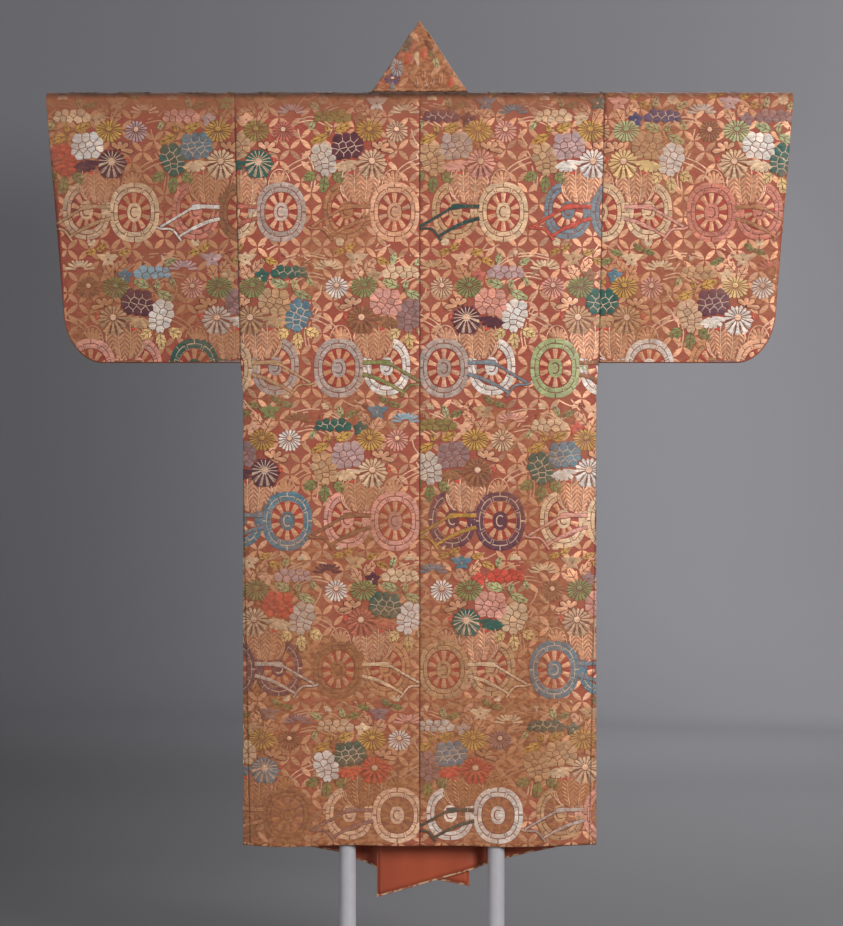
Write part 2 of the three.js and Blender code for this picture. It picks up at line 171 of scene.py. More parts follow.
def creases(table, x, z, room):
    """How far a sheet stands out, fading towards its seams and the bar."""
    total = 0.8 * np.sin(x / 61 + 2.1 * np.sin(z / 240)) * np.sin(z / 173 + x / 310)
    for centre_x, centre_z, lean, length, width, height in table:
        tilt = math.radians(lean)
        along = (x - centre_x) * math.sin(tilt) + (z - centre_z) * math.cos(tilt)
        across = (x - centre_x) * math.cos(tilt) - (z - centre_z) * math.sin(tilt)
        reach = 1 - smooth(np.abs(along), 0.25 * length, 0.5 * length)
        total = total + height * reach * np.exp(-0.5 * (across / width) ** 2)
    return total * smooth(room, 6, 70) * (1 - smooth(z, *CREASE_TOP))


# A seam pulls the cloth in along it, a little unevenly

SEAM_PULL = 1.1
SEAM_REACH = 3.5


def seam_dip(distance, along):
    uneven = 1 + 0.35 * np.sin(along / 17) * np.sin(along / 5.3)
    return SEAM_PULL * uneven * np.exp(-((distance / SEAM_REACH) ** 2))


# Body

def half_width(z):
    low = lerp(BODY_HALF_WIDTH, ARMHOLE_HALF_WIDTH, ramp(z, SLEEVE_BOTTOM - ARMHOLE_FLARE, SLEEVE_BOTTOM))
    high = lerp(ARMHOLE_HALF_WIDTH, SHOULDER_HALF_WIDTH, ramp(z, SLEEVE_BOTTOM, BAR_HEIGHT))
    return np.where(z < SLEEVE_BOTTOM, low, high)


def edge_depth(z):
    low = lerp(SEAM_DEPTH, SLEEVE_FOLD, ramp(z, SLEEVE_BOTTOM - ARMHOLE_TUCK, SLEEVE_BOTTOM))
    high = lerp(SLEEVE_FOLD, FOLD_RADIUS, ramp(z, SLEEVE_BOTTOM, BAR_HEIGHT))
    return np.where(z < SLEEVE_BOTTOM, low, high)


def sheet_depth(place, z):
    edge = edge_depth(z)
    near_side = ramp(place, half_width(z) - SIDE_TAPER, half_width(z))
    return edge + (FOLD_RADIUS - edge) * np.cos(near_side * math.pi / 2)


def band_turn(side):
    return NECK_BASE - (NECK_HALF_WIDTH - side.band_seam) / math.tan(BAND_LEAN)


def overlap_point(side):
    return band_turn(side) - OVERLAP_DROP


def inner_edge(side, z):
    turn = band_turn(side)
    point = overlap_point(side)
    band = side.band_seam + NECK_SEAM
    slant = band + (z - turn) * math.tan(BAND_LEAN)
    low = lerp(side.overlap_seam, side.band_seam + 3, ramp(z, BACK_HEM, point))
    return np.where(z > turn, slant, np.where(z > point, band, low))


def pleat_centre(side, middle, z):
    """Where a fold runs at a height. It keeps its share of the way from the seam to the side."""
    share = (middle - side.overlap_seam) / (BODY_HALF_WIDTH - SIDE_TAPER - side.overlap_seam)
    return lerp(inner_edge(side, z), half_width(z) - SIDE_TAPER, share)


def front_depth(side, place, z):
    fade = 1 - smooth(z, *PLEAT_FADE)
    depth = sheet_depth(np.maximum(place, 0), z)
    step = 1 - smooth(place, side.main_pleat - LAYER_STEP[0], side.main_pleat + LAYER_STEP[1])
    depth = depth + side.layer * step * (1 - smooth(z, *LAYER_FADE))
    for middle, spread, height in side.pleats:
        off_centre = place - pleat_centre(side, middle, z)
        depth = depth + fade * height * np.exp(-0.5 * (off_centre / spread) ** 2)
    ease = smooth(place, side.main_pleat + EASE[0], side.main_pleat + EASE[1])
    room = half_width(z) - place
    return depth + ease * creases(FRONT_CREASES, side.sign * place, z, room)


RISE_LENGTH = 120


def front_height(side, place, level):
    """The front hangs lower towards its free edge, and rises again to meet the end of the collar."""
    share = ramp(SLEEVE_BOTTOM - level, 0, SLEEVE_BOTTOM - BACK_HEM)
    places, drops = zip(*side.hem)
    band = side.band_seam + NECK_SEAM
    under_band = 1 - ramp(place, band, np.maximum(inner_edge(side, level), band + 1))
    below_end = smooth(level, LINING_TOP + 1, COLLAR_END)
    above_end = 1 - smooth(level, COLLAR_END, COLLAR_END + RISE_LENGTH)
    return level - share * np.interp(place, places, drops) * (1 - under_band * below_end * above_end)


def over_bar(x, depth, facing, height, z):
    """Points at a height along the cloth. Above the bar's axis they go round the bar."""
    angle = np.clip((height - BAR_HEIGHT) / FOLD_RADIUS, 0, math.pi / 2)
    rise = np.where(height > BAR_HEIGHT, BAR_HEIGHT + FOLD_RADIUS * np.sin(angle), z)
    return stack(x, facing * depth * np.cos(angle), rise)


HEM_WAVE = 2.2
HEM_WAVE_REACH = 60


def body_back(side):
    def surface(x, height):
        place = side.sign * x
        z = np.minimum(height, BAR_HEIGHT)
        room = np.minimum(half_width(z) - place, height - BACK_HEM + 40)
        depth = sheet_depth(place, z) + creases(BACK_CREASES, x, z, room)
        depth = depth - seam_dip(place, height)
        depth = depth - 0.5 * seam_dip(half_width(z) - place, height)
        near_hem = 1 - smooth(height, BACK_HEM, BACK_HEM + HEM_WAVE_REACH)
        wave = HEM_WAVE * np.sin(x / 47 + 1) * np.sin(x / 131) * near_hem
        return over_bar(x, depth, -1, height, z + wave)
    return surface


def body_front(side):
    def surface(x, level):
        place = side.sign * x
        z = np.minimum(level, BAR_HEIGHT)
        depth = front_depth(side, place, z) - 0.5 * seam_dip(half_width(z) - place, level)
        return over_bar(x, depth, 1, level, front_height(side, place, z))
    return surface


def back_room(side):
    def room(x, height):
        place = side.sign * x
        return np.minimum.reduce((
            place - SEAM_ROOM, half_width(height) - place - SEAM_ROOM,
            height - BACK_HEM - EDGE_ROOM, RIDGE - height,
        ))
    return room


def front_room(side):
    def room(x, level):
        place = side.sign * x
        return np.minimum.reduce((
            place - inner_edge(side, level) - EDGE_ROOM, half_width(level) - place - SEAM_ROOM,
            level - BACK_HEM - EDGE_ROOM, RIDGE - level,
        ))
    return room


# Overlap panels, which carry the front's surface on to the free edge

def overlap_room(side):
    def room(x, level):
        place = side.sign * x
        seam = inner_edge(side, level) - SEAM_GAP - place - SEAM_ROOM
        band = side.band_seam + NECK_SEAM
        free = place - np.where(level > COLLAR_END - 0.5, band, side.free_edge) - EDGE_ROOM
        top = overlap_point(side) - level
        return np.minimum.reduce((seam, free, level - BACK_HEM - EDGE_ROOM, top))
    return room


# Sleeves: straight threads of cloth hang from the bar to the lower outline

def sleeve_edge(z):
    corner_top = SLEEVE_BOTTOM + CORNER_HEIGHT
    share = (SHOULDER_TOP - z) / (SHOULDER_TOP - corner_top)
    return lerp(SLEEVE_REACH, CORNER_START + CORNER_WIDTH, share)


def sleeve_outline():
    """Place on the bar, and place and height on the lower outline, from armhole to wrist."""
    flat = np.linspace(0, 1, 46)[:-1]
    start = ARMHOLE_HALF_WIDTH + SEAM_GAP
    rows = [(
        lerp(SHOULDER_HALF_WIDTH + SEAM_GAP, CORNER_HANG[0], flat),
        lerp(start, CORNER_START, flat),
        np.full_like(flat, SLEEVE_BOTTOM),
    )]
    round_share = np.linspace(0, 1, 25)
    angle = round_share * math.pi / 2
    rows.append((
        lerp(*CORNER_HANG, round_share),
        CORNER_START + CORNER_WIDTH * np.sin(angle),
        SLEEVE_BOTTOM + CORNER_HEIGHT * (1 - np.cos(angle)),
    ))
    up = np.linspace(0, 1, 17)[1:]
    z = lerp(SLEEVE_BOTTOM + CORNER_HEIGHT, WRIST_BOTTOM, up)
    rows.append((lerp(CORNER_HANG[1], sleeve_edge(BAR_HEIGHT), up), sleeve_edge(z), z))
    return [np.concatenate(columns) for columns in zip(*rows)]


OUTLINE_TOP, OUTLINE_PLACE, OUTLINE_Z = sleeve_outline()
THREADS = np.arange(len(OUTLINE_TOP))
HALVINGS = 24


def thread_at(place, z):
    """Which thread of the sleeve passes through each point."""
    low = np.zeros(np.broadcast(place, z).shape)
    high = low + THREADS[-1]
    for _ in range(HALVINGS):
        middle = (low + high) / 2
        top = np.interp(middle, THREADS, OUTLINE_TOP)
        foot = np.interp(middle, THREADS, OUTLINE_PLACE)
        foot_z = np.interp(middle, THREADS, OUTLINE_Z)
        outside = (place - top) * (BAR_HEIGHT - foot_z) > (foot - top) * (BAR_HEIGHT - z)
        low = np.where(outside, middle, low)
        high = np.where(outside, high, middle)
    return low


def sleeve_depth(x, z, share, length, facing):
    """Half depth of the sleeve, rounded where its lower edge closes."""
    depth = lerp(FOLD_RADIUS, SLEEVE_FOLD, share)
    closing = ramp((1 - share) * length, 0, SLEEVE_FOLD)
    shape = np.sqrt(1 - (1 - closing) ** 2)
    table = BACK_CREASES if facing < 0 else FRONT_CREASES
    room = np.minimum((1 - share) * length, np.abs(x) - ARMHOLE_HALF_WIDTH)
    seam = 0.5 * seam_dip(np.abs(x) - half_width(z), z) * smooth(z, SLEEVE_BOTTOM, SLEEVE_BOTTOM + 60)
    return depth * shape + np.maximum(creases(table, x, z, room), -0.5) - seam


def sleeve_sheet(side, facing):
    def surface(x, height):
        z = np.minimum(height, BAR_HEIGHT)
        thread = thread_at(side.sign * x, z)
        foot_z = np.interp(thread, THREADS, OUTLINE_Z)
        share = np.clip((BAR_HEIGHT - z) / (BAR_HEIGHT - foot_z), 0, 1)
        depth = sleeve_depth(x, z, share, BAR_HEIGHT - foot_z, facing)
        return over_bar(x, depth, facing, height, z)
    return surface


def sleeve_room(side):
    def room(x, height):
        place = side.sign * x
        z = np.minimum(height, BAR_HEIGHT)
        fall = ramp(BAR_HEIGHT - z, 0, ARMHOLE_DEPTH)
        armhole = lerp(SHOULDER_HALF_WIDTH, ARMHOLE_HALF_WIDTH, fall) + SEAM_GAP
        across = np.maximum(place - CORNER_START, 0) / CORNER_WIDTH
        down = np.maximum(SLEEVE_BOTTOM + CORNER_HEIGHT - height, 0) / CORNER_HEIGHT
        corner = (1 - np.hypot(across, down)) * CORNER_WIDTH
        corner = np.where((across > 0) & (down > 0), corner, SLEEVE_REACH)
        edges = (
            place - armhole - SEAM_ROOM, sleeve_edge(z) - place - 0.8, corner - 1.6,
            height - SLEEVE_BOTTOM - 1.6, RIDGE - height,
        )
        return np.minimum.reduce(edges)
    return room


# Collar

COLLAR_STRETCH = 8.5
SLANT = (math.pi / 2 + BAND_LEAN) / 2
SLANT_HEIGHT = NECK_HALF_WIDTH * math.tan(SLANT)


def stretched(points):
    """The collar's upper part rises a little more than in the solid, to the photo's point."""
    rise = ramp(points[..., 2], NECK_BASE, COLLAR_TOP)
    points[..., 0] *= 1 - 0.6 * smooth(points[..., 2], COLLAR_TOP - 24, COLLAR_TOP + 1)
    points[..., 2] += COLLAR_STRETCH * rise**2
    return points


def slant_place(share):
    height = share * (COLLAR_TOP - NECK_BASE)
    return NECK_HALF_WIDTH * (1 - height / SLANT_HEIGHT), NECK_BASE + height


def slant_at(z):
    return NECK_HALF_WIDTH * (1 - (z - NECK_BASE) / SLANT_HEIGHT)


def sewn_depth(side, place, z):
    lift = COLLAR_LIFT * smooth(z, LAYER_FADE[0], BAR_HEIGHT)
    radius = FOLD_RADIUS + COLLAR_LIFT
    rise = np.clip(z - BAR_HEIGHT, 0, radius)
    return np.where(z <= BAR_HEIGHT, front_depth(side, place, z) + lift, np.sqrt(radius**2 - rise**2))


def leaning_depth(side, z):
    hanging = FOLD_RADIUS + side.layer
    low = hanging + BAND_BULGE * smooth(z, LAYER_FADE[0], SHOULDER_TOP)
    high = lerp(side.top_depth, hanging + BAND_BULGE, ramp(COLLAR_TOP - z, 0, COLLAR_TOP - SHOULDER_TOP))
    return np.where(z < SHOULDER_TOP, low, high)


SEWN_SHARE = 0.2


def flap_row(side, share, w):
    top_place, top_z = slant_place(1)
    sewn_fall = (NECK_HALF_WIDTH - side.band_seam) / math.sin(BAND_LEAN) * share
    free_fall = (top_place - side.free_edge) / math.sin(BAND_LEAN) * share
    sewn_place = NECK_HALF_WIDTH - sewn_fall * math.sin(BAND_LEAN)
    sewn_z = NECK_BASE - sewn_fall * math.cos(BAND_LEAN)
    place = lerp(sewn_place, top_place - free_fall * math.sin(BAND_LEAN), w)
    z = lerp(sewn_z, top_z - free_fall * math.cos(BAND_LEAN), w)
    sewn = sewn_depth(side, np.full_like(w, sewn_place), np.full_like(w, sewn_z))
    depth = lerp(sewn, leaning_depth(side, z), ramp(w, 0, SEWN_SHARE))
    return stack(side.sign * place, depth, z)


def slant_rows(side, w, steps=12):
    place, z = slant_place(w)
    free = ramp(w, 0, SEWN_SHARE)
    front_y = lerp(NECK_FOLD_DEPTH, leaning_depth(side, z), free)
    radius = (front_y - BACK_SHEET_DEPTH) / 2
    rows = []
    for angle in np.linspace(-math.pi / 2, math.pi / 2, steps + 1):
        inset = np.minimum(radius, SLANT_RADIUS) * (1 - math.cos(angle))
        rows.append(stack(
            side.sign * (place - inset * math.sin(SLANT)),
            (front_y + BACK_SHEET_DEPTH) / 2 + radius * math.sin(angle),
            z - free * inset * math.cos(SLANT),
        ))
    return rows


def front_band_rows(side, w):
    levels = np.arange(COLLAR_END + SEAM_GAP, band_turn(side) - 4, 12)
    place = lerp(side.band_seam, side.free_edge, w)
    rows = [stack(side.sign * place, front_depth(side, place, z + 0 * w), z + 0 * w) for z in levels]
    shares = np.concatenate([np.linspace(1, 0.1, 34), np.linspace(0.085, 0.03, 5)])
    return rows + [flap_row(side, share, w) for share in shares]


COLLAR_BOW = 1.2
BOW_EDGE = (2, 22)
BOW_RISE = 30


def collar_bow(points):
    """Soft waves in the collar's back sheet."""
    x, z = points[:, 0], points[:, 2]
    edge = smooth(collar_back_room(x, z), *BOW_EDGE) * smooth(z, NECK_BASE, NECK_BASE + BOW_RISE)
    points[:, 1] -= COLLAR_BOW * np.sin(z / 17 + x / 41) * edge
    return points


def collar_grid():
    w = np.linspace(0, 1, 23)
    left_fold = slant_rows(left, w)[::-1]
    right_fold = slant_rows(right, w)
    middle = []
    for share in np.linspace(0, 1, 22)[1:-1]:
        row = lerp(left_fold[-1], right_fold[0], share)
        row[1:-1] = collar_bow(row[1:-1])
        row[:, 2] += (COLLAR_POINT - COLLAR_TOP) * w * math.sin(math.pi * share)
        middle.append(row)
    rows = front_band_rows(left, w) + left_fold + middle + right_fold + front_band_rows(right, w)[::-1]
    return stretched(np.array(rows))


def collar_back(x, z):
    return stretched(collar_bow(stack(x, BACK_SHEET_DEPTH + 0 * x, z)))


def collar_back_room(x, z):
    return np.minimum((slant_at(z) - np.abs(x)) * 0.8 - 0.3, z - NECK_BASE - EDGE_ROOM)


def band_edges(side, z):
    """Places of the band's sewn and free edges at a height."""
    top_place, top_z = slant_place(1)
    sewn = side.band_seam + np.maximum(z - band_turn(side), 0) * math.tan(BAND_LEAN)
    free_turn = top_z - (top_place - side.free_edge) / math.tan(BAND_LEAN)
    free = side.free_edge + np.maximum(z - free_turn, 0) * math.tan(BAND_LEAN)
    return sewn, free


def band_front(side):
    def surface(x, z):
        place = side.sign * x
        sewn, free = band_edges(side, z)
        w = (sewn - place) / (sewn - free)
        leaning = np.where(z < LAYER_FADE[0], front_depth(side, place, z), leaning_depth(side, z))
        depth = lerp(sewn_depth(side, sewn, z), leaning, ramp(w, 0, SEWN_SHARE))
        return stretched(stack(x, depth, z))
    return surface


def band_room(side):
    def room(x, z):
        place = side.sign * x
        sewn, free = band_edges(side, z)
        return np.minimum.reduce((
            sewn - place - EDGE_ROOM, place - free - 0.8, (slant_at(z) - place) * 0.8 - 5,
            z - COLLAR_END - 1,
        ))
    return room


# Meshes

def link_object(name, mesh):
    piece = bpy.data.objects.new(name, mesh)
    bpy.context.scene.collection.objects.link(piece)
    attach(piece, "root")
    return piece


def build_mesh(name, points, faces, uvs, material_of_face, materials, colours=None):
    mesh = bpy.data.meshes.new(name)
    corners = faces.shape[1]
    mesh.vertices.add(len(points))
    mesh.vertices.foreach_set("co", (points * MM).astype(np.float32).ravel())
    mesh.loops.add(faces.size)
    mesh.loops.foreach_set("vertex_index", faces.astype(np.int32).ravel())
    mesh.polygons.add(len(faces))
    mesh.polygons.foreach_set("loop_start", np.arange(0, faces.size, corners, dtype=np.int32))
    mesh.polygons.foreach_set("material_index", material_of_face.astype(np.int32))
    for material in materials:
        mesh.materials.append(material)
    layer = mesh.uv_layers.new(name="OFBake")
    layer.uv.foreach_set("vector", uvs.astype(np.float32).ravel())
    if colours is not None:
        paint = mesh.color_attributes.new("thread", "FLOAT_COLOR", "CORNER")
        paint.data.foreach_set("color", np.repeat(colours, corners, axis=0).astype(np.float32).ravel())
    mesh.update(calc_edges=True)
    mesh.shade_smooth()
    mesh.validate()
    return mesh


SHEET_GAP = 2.1
RIM_SHIFT = 0.0025


def grid_normals(grid, ring):
    if ring:
        across = np.roll(grid, -1, axis=1) - np.roll(grid, 1, axis=1)
    else:
        across = np.gradient(grid, axis=1)
    normals = np.cross(np.gradient(grid, axis=0), across)
    return normals / np.maximum(np.linalg.norm(normals, axis=-1, keepdims=True), 1e-9)


def cloth_shell(name, grid, flat, out, inside, thickness=CLOTH, keep=None, ring=False, hems=()):
    """A thin closed shell on a grid of middle points. out gives a point's outward direction at the
    grid's first kept cell, and flat the grid's places in the cut cloth."""
    rows, columns = grid.shape[:2]
    normals = grid_normals(grid, ring)
    if np.sum(normals[out[0]] * out[1]) < 0:
        normals = -normals
    cells = (rows - 1, columns if ring else columns - 1)
    keep = np.ones(cells, bool) if keep is None else keep
    r, c = np.nonzero(keep)
    d = (c + 1) % columns
    corner = [r * columns + c, r * columns + d, (r + 1) * columns + d, (r + 1) * columns + c]
    count = rows * columns
    points = np.concatenate([
        (grid + normals * thickness / 2).reshape(-1, 3), (grid - normals * thickness / 2).reshape(-1, 3),
    ])
    a, b, e, f = corner
    sample = np.cross(points[b[0]] - points[a[0]], points[f[0]] - points[a[0]])
    turned = np.dot(sample, normals[r[0], c[0]]) < 0
    if turned:
        a, b, e, f = a, f, e, b
    outside = np.stack([a, b, e, f], 1)
    faces = [outside, outside[:, ::-1] + count]
    padded = np.pad(keep, 1)
    if ring:
        padded[1:-1, 0] = keep[:, -1]
        padded[1:-1, -1] = keep[:, 0]
    order = ((-1, 0), (0, 1), (1, 0), (0, -1))
    for side, (dr, dc) in enumerate(order):
        free = ~padded[r + 1 + dr, c + 1 + dc]
        first, second = corner[side][free], corner[(side + 1) % 4][free]
        if turned:
            first, second = second, first
        faces.append(np.stack([second, first, first + count, second + count], 1))
    all_faces = np.concatenate(faces)
    low = flat.reshape(-1, 2).min(axis=0)
    span = (flat.reshape(-1, 2).max(axis=0) - low).max() * SHEET_GAP
    place = (flat.reshape(-1, 2) - low) / span
    behind = place + (0.5, 0)
    uv = np.concatenate([place, behind])[all_faces]
    cloth_faces = 2 * len(outside)
    rims = all_faces[cloth_faces:]
    uv[cloth_faces:] = np.concatenate([place, place + RIM_SHIFT])[rims]
    slots = np.zeros(len(all_faces))
    slots[len(outside):cloth_faces] = np.where(np.isin(r, hems), 2, 1)
    used, remapped = np.unique(all_faces, return_inverse=True)
    mesh = build_mesh(name, points[used], remapped.reshape(all_faces.shape), uv, slots,
                      [materials["brocade_ground"], inside, materials["edge"]])
    return link_object(name, mesh)


NEAR_SEAM = (0, 0.8, 1.8, 3, 4.6, 7)


def fine_near_ends(start, end, step):
    """Places between two seams, close together next to them."""
    near = np.array(NEAR_SEAM)
    middle = np.linspace(start + near[-1], end - near[-1], max(int((end - start) / step), 2))[1:-1]
    return np.concatenate([start + near, middle, end - near[::-1]])


# Materials

def linear(code):
    """A colour given as six hexadecimal digits, as linear light."""
    channels = [int(code[i:i + 2], 16) / 255 for i in (0, 2, 4)]
    return tuple(c / 12.92 if c <= 0.04045 else ((c + 0.055) / 1.055) ** 2.4 for c in channels)


class Shader:
    """A material and its nodes."""

    def __init__(self, name, **settings):
        self.material = bpy.data.materials.new(name)
        self.material.use_nodes = True
        self.tree = self.material.node_tree
        self.tree.nodes.clear()
        self.surface = self.node("ShaderNodeBsdfPrincipled", **settings)
        output = self.node("ShaderNodeOutputMaterial")
        self.tree.links.new(self.surface.outputs["BSDF"], output.inputs["Surface"])
        self.place = self.node("ShaderNodeTexCoord").outputs["Object"]

    def node(self, kind, props=None, **inputs):
        node = self.tree.nodes.new(kind)
        for key, value in (props or {}).items():
            setattr(node, key, value)
        for key, value in inputs.items():
            self.set(node, key.replace("_", " "), value)
        return node

    def set(self, node, key, value):
        socket = node.inputs[int(key) if key.isdigit() else key]
        if isinstance(value, bpy.types.NodeSocket):
            self.tree.links.new(value, socket)
        elif isinstance(value, tuple) and len(value) == 3 and len(socket.default_value) == 4:
            socket.default_value = (*value, 1)
        else:
            socket.default_value = value

    def noise(self, scale, detail=3, stretch=(1, 1, 1), roughness=0.5):
        mapped = self.node("ShaderNodeMapping", Vector=self.place, Scale=stretch)
        node = self.node("ShaderNodeTexNoise", Vector=mapped.outputs[0], Scale=scale, Detail=detail,
                         Roughness=roughness)
        return node.outputs["Fac"]

    def scaled(self, value, low, high, to_low=0.0, to_high=1.0):
        node = self.node("ShaderNodeMapRange", {"interpolation_type": "SMOOTHSTEP"}, Value=value)
        for key, number in zip((1, 2, 3, 4), (low, high, to_low, to_high)):
            node.inputs[key].default_value = number
        return node.outputs[0]

    def math(self, operation, a, b=0.0):
        node = self.node("ShaderNodeMath", {"operation": operation})
        self.set(node, "0", a)
        self.set(node, "1", b)
        return node.outputs[0]

    def product(self, a, b):
        return self.math("MULTIPLY", a, b)

    def total(self, a, b):
        return self.math("ADD", a, b)

    def shaded(self, colour, share):
        node = self.node("ShaderNodeVectorMath", {"operation": "SCALE"})
        self.set(node, "0", colour)
        self.set(node, "Scale", share)
        return node.outputs[0]

    def mix(self, factor, a, b, blend="MIX"):
        node = self.node("ShaderNodeMix", {"data_type": "RGBA", "blend_type": blend})
        for key, value in (("0", factor), ("6", a), ("7", b)):
            self.set(node, key, value)
        return node.outputs[2]

    def colour(self, value):
        self.set(self.surface, "Base Color", value)

    def bump(self, height, distance, strength=1.0):
        node = self.node("ShaderNodeBump", Height=height, Distance=distance, Strength=strength)
        self.tree.links.new(node.outputs[0], self.surface.inputs["Normal"])

    def height(self):
        return self.node("ShaderNodeSeparateXYZ", Vector=self.place).outputs["Z"]

    def depth(self):
        return self.node("ShaderNodeSeparateXYZ", Vector=self.place).outputs["Y"]

    def across(self):
        return self.node("ShaderNodeSeparateXYZ", Vector=self.place).outputs["X"]


# Heights and places, in metres, where the look of the cloth changes

NECK_LINE = (1.684, 1.685)
ARMHOLES = (0.345, 0.36)
LEFT_ARMHOLE = (-0.345, -0.338)
RIGHT_ARMHOLE = (0.3, 0.38)
SHOULDER_FADE = (1.615, 1.670)
SHOULDER_FOLD = (1.667, 1.680)
COLLAR_SEAM = (1.6845, 1.688)

# Colours of the materials, each with a lighter one where they vary

WORN = linear("8E532F"), linear("B87A4A")
# Painted shade and painted uneven shine on the gold floats
SHADED_GOLD = linear("C4865A")
FADED = linear("905534")
# Painted shade where the cloth bends over the bar
FOLD_SHADE = linear("3A2416")
GROUND = linear("97402C"), linear("AE4F39")
GROUND_PATCH = linear("A05A3E")
LINING_SILK = linear("9A4024"), linear("B04E2C")
LINING_THREAD = linear("B86440")
HEM_EDGE = linear("B0583A"), linear("DDB488")
STAND_GREY = linear("B6B3B7"), linear("BAB7BB")
PADDING = linear("CFC9BC"), linear("DCD7CB")
PADDING_WEAVE = linear("A9A294")
PAPER = linear("858386"), linear("8D8C8F")


def wear_of(shader):
    """Share of worn cloth: broad patches, more of them lower down and on the collar."""
    broad = shader.noise(5.5, detail=4)
    low = shader.scaled(shader.height(), 0.2, 1.4, 0.16, -0.06)
    neck = shader.scaled(shader.height(), *NECK_LINE, 0.0, 0.3)
    streaks = shader.product(shader.noise(60, detail=3, stretch=(0.35, 1, 3)), 0.22)
    sleeves = shader.scaled(shader.math("ABSOLUTE", shader.across()), *ARMHOLES, 0.0, 0.06)
    high = shader.total(neck, sleeves)
    mixed = shader.total(shader.total(broad, low), shader.total(high, streaks))
    return shader.scaled(mixed, 0.56, 0.82)


def worn_colour(shader):
    """The warp that shows where the weft is gone, speckled with what is left of it."""
    speckle = shader.noise(190, detail=3, stretch=(0.6, 1, 1))
    return shader.mix(shader.scaled(speckle, 0.36, 0.66), *WORN)


SEAM_WIDTHS = (0.0006, 0.0026)


def seam_shade(shader):
    """Painted shade of the seam grooves: thin dark lines down the back's centre and round the armholes."""
    from_centre = shader.math("ABSOLUTE", shader.across())
    slope = (SHOULDER_HALF_WIDTH - ARMHOLE_HALF_WIDTH) / (BAR_HEIGHT - SLEEVE_BOTTOM)
    above = shader.math("SUBTRACT", shader.height(), SLEEVE_BOTTOM * MM)
    armhole = shader.total(shader.product(above, slope), ARMHOLE_HALF_WIDTH * MM)
    from_armhole = shader.math("ABSOLUTE", shader.math("SUBTRACT", from_centre, armhole))
    on_front = shader.scaled(shader.depth(), -0.004, 0.0, 0.0, 0.1)
    on_collar = shader.scaled(shader.height(), *NECK_LINE, 0.0, 0.1)
    from_seam = shader.math("MINIMUM", shader.total(from_centre, on_front), from_armhole)
    return shader.scaled(shader.total(from_seam, on_collar), *SEAM_WIDTHS, 0.5, 1.0)


def painted_side_and_seam_shade(shader, colour):
    """Painted shade: the left sleeve, further from the light, is darker, and so are the seams."""
    shade_share = shader.scaled(shader.across(), *LEFT_ARMHOLE, 0.82, 1.0)
    shade_share = shader.product(shade_share, seam_shade(shader))
    return shader.shaded(colour, shade_share)


def gold_shade_share_of(shader):
    """Share of painted shade and dull shine on gold: most on the left sleeve, in patches everywhere."""
    patches = shader.noise(6.5, detail=4)
    sleeve = shader.scaled(shader.across(), *LEFT_ARMHOLE, 0.2, 0.0)
    low = shader.scaled(shader.height(), 0.3, 1.5, 0.08, 0.0)
    mixed = shader.total(patches, shader.total(sleeve, low))
    return shader.scaled(mixed, 0.42, 0.78, 0.0, 0.75)


def shoulder_fade_and_fold_shade(shader, colour):
    """The cloth fades below the bar; painted shade darkens it where it bends over the bar."""
    below_neck = shader.scaled(shader.height(), *COLLAR_SEAM, 1.0, 0.0)
    patches = shader.scaled(shader.noise(24, detail=3, stretch=(1, 1, 2)), 0.25, 0.6, 0.55, 1.0)
    patches = shader.product(patches, shader.scaled(shader.across(), *RIGHT_ARMHOLE, 1.0, 0.45))
    fade = shader.product(shader.scaled(shader.height(), *SHOULDER_FADE, 0.0, 0.85), patches)
    faded = shader.mix(shader.product(fade, below_neck), colour, FADED)
    # Painted shade over the bend of the bar
    strip = shader.product(shader.scaled(shader.height(), *SHOULDER_FOLD, 0.0, 0.85), patches)
    dark = shader.product(strip, below_neck)
    return shader.mix(dark, faded, FOLD_SHADE)


def make_brocade_ground():
    shader = Shader("brocade_ground", Roughness=0.62, Sheen_Weight=0.25, Sheen_Roughness=0.4)
    fine = shader.noise(420, detail=2, stretch=(0.3, 1, 1))
    base = shader.mix(shader.scaled(fine, 0.3, 0.7), *GROUND)
    patchy = shader.mix(shader.scaled(shader.noise(14), 0.4, 0.7, 0, 0.7), base, GROUND_PATCH)
    worn = shader.mix(shader.product(wear_of(shader), 0.88), patchy, worn_colour(shader))
    # Painted shade darkens the left sleeve, the seams and the cloth over the bar
    shader.colour(shoulder_fade_and_fold_shade(shader, painted_side_and_seam_shade(shader, worn)))
    twill = shader.node("ShaderNodeTexWave", {"wave_type": "BANDS", "bands_direction": "DIAGONAL"},
                        Vector=shader.place, Scale=210.0, Distortion=1.5, Detail=1.0)
    shader.bump(twill.outputs["Fac"], 0.0003, 0.5)
    return shader.material


def make_thread(name, metallic, roughness, wear_share, gold_shaded):
    """Loose weft floats: their own colours, worn back towards the ground."""
    shader = Shader(name, Roughness=roughness, Metallic=metallic, Sheen_Weight=0.25, Sheen_Roughness=0.35)
    paint = shader.node("ShaderNodeAttribute", {"attribute_name": "thread"}).outputs["Color"]
    strands = shader.noise(700, detail=2, stretch=(0.12, 1, 1))
    flecks = shader.noise(210, detail=3, stretch=(0.4, 1, 1))
    shade = shader.product(shader.scaled(strands, 0.3, 0.7, 0.78, 1.14),
                           shader.scaled(flecks, 0.3, 0.7, 0.78, 1.16))
    colour = shader.shaded(paint, shade)
    # Gold floats get painted shade and a painted, uneven shine
    if gold_shaded:
        colour = shader.mix(gold_shade_share_of(shader), colour, SHADED_GOLD)
    factor = shader.product(wear_of(shader), wear_share)
    worn = shader.mix(factor, colour, worn_colour(shader))
    # Painted shade darkens the left sleeve, the seams and the cloth over the bar
    shader.colour(shoulder_fade_and_fold_shade(shader, painted_side_and_seam_shade(shader, worn)))
    shader.bump(strands, 0.0004, 0.6)
    return shader.material


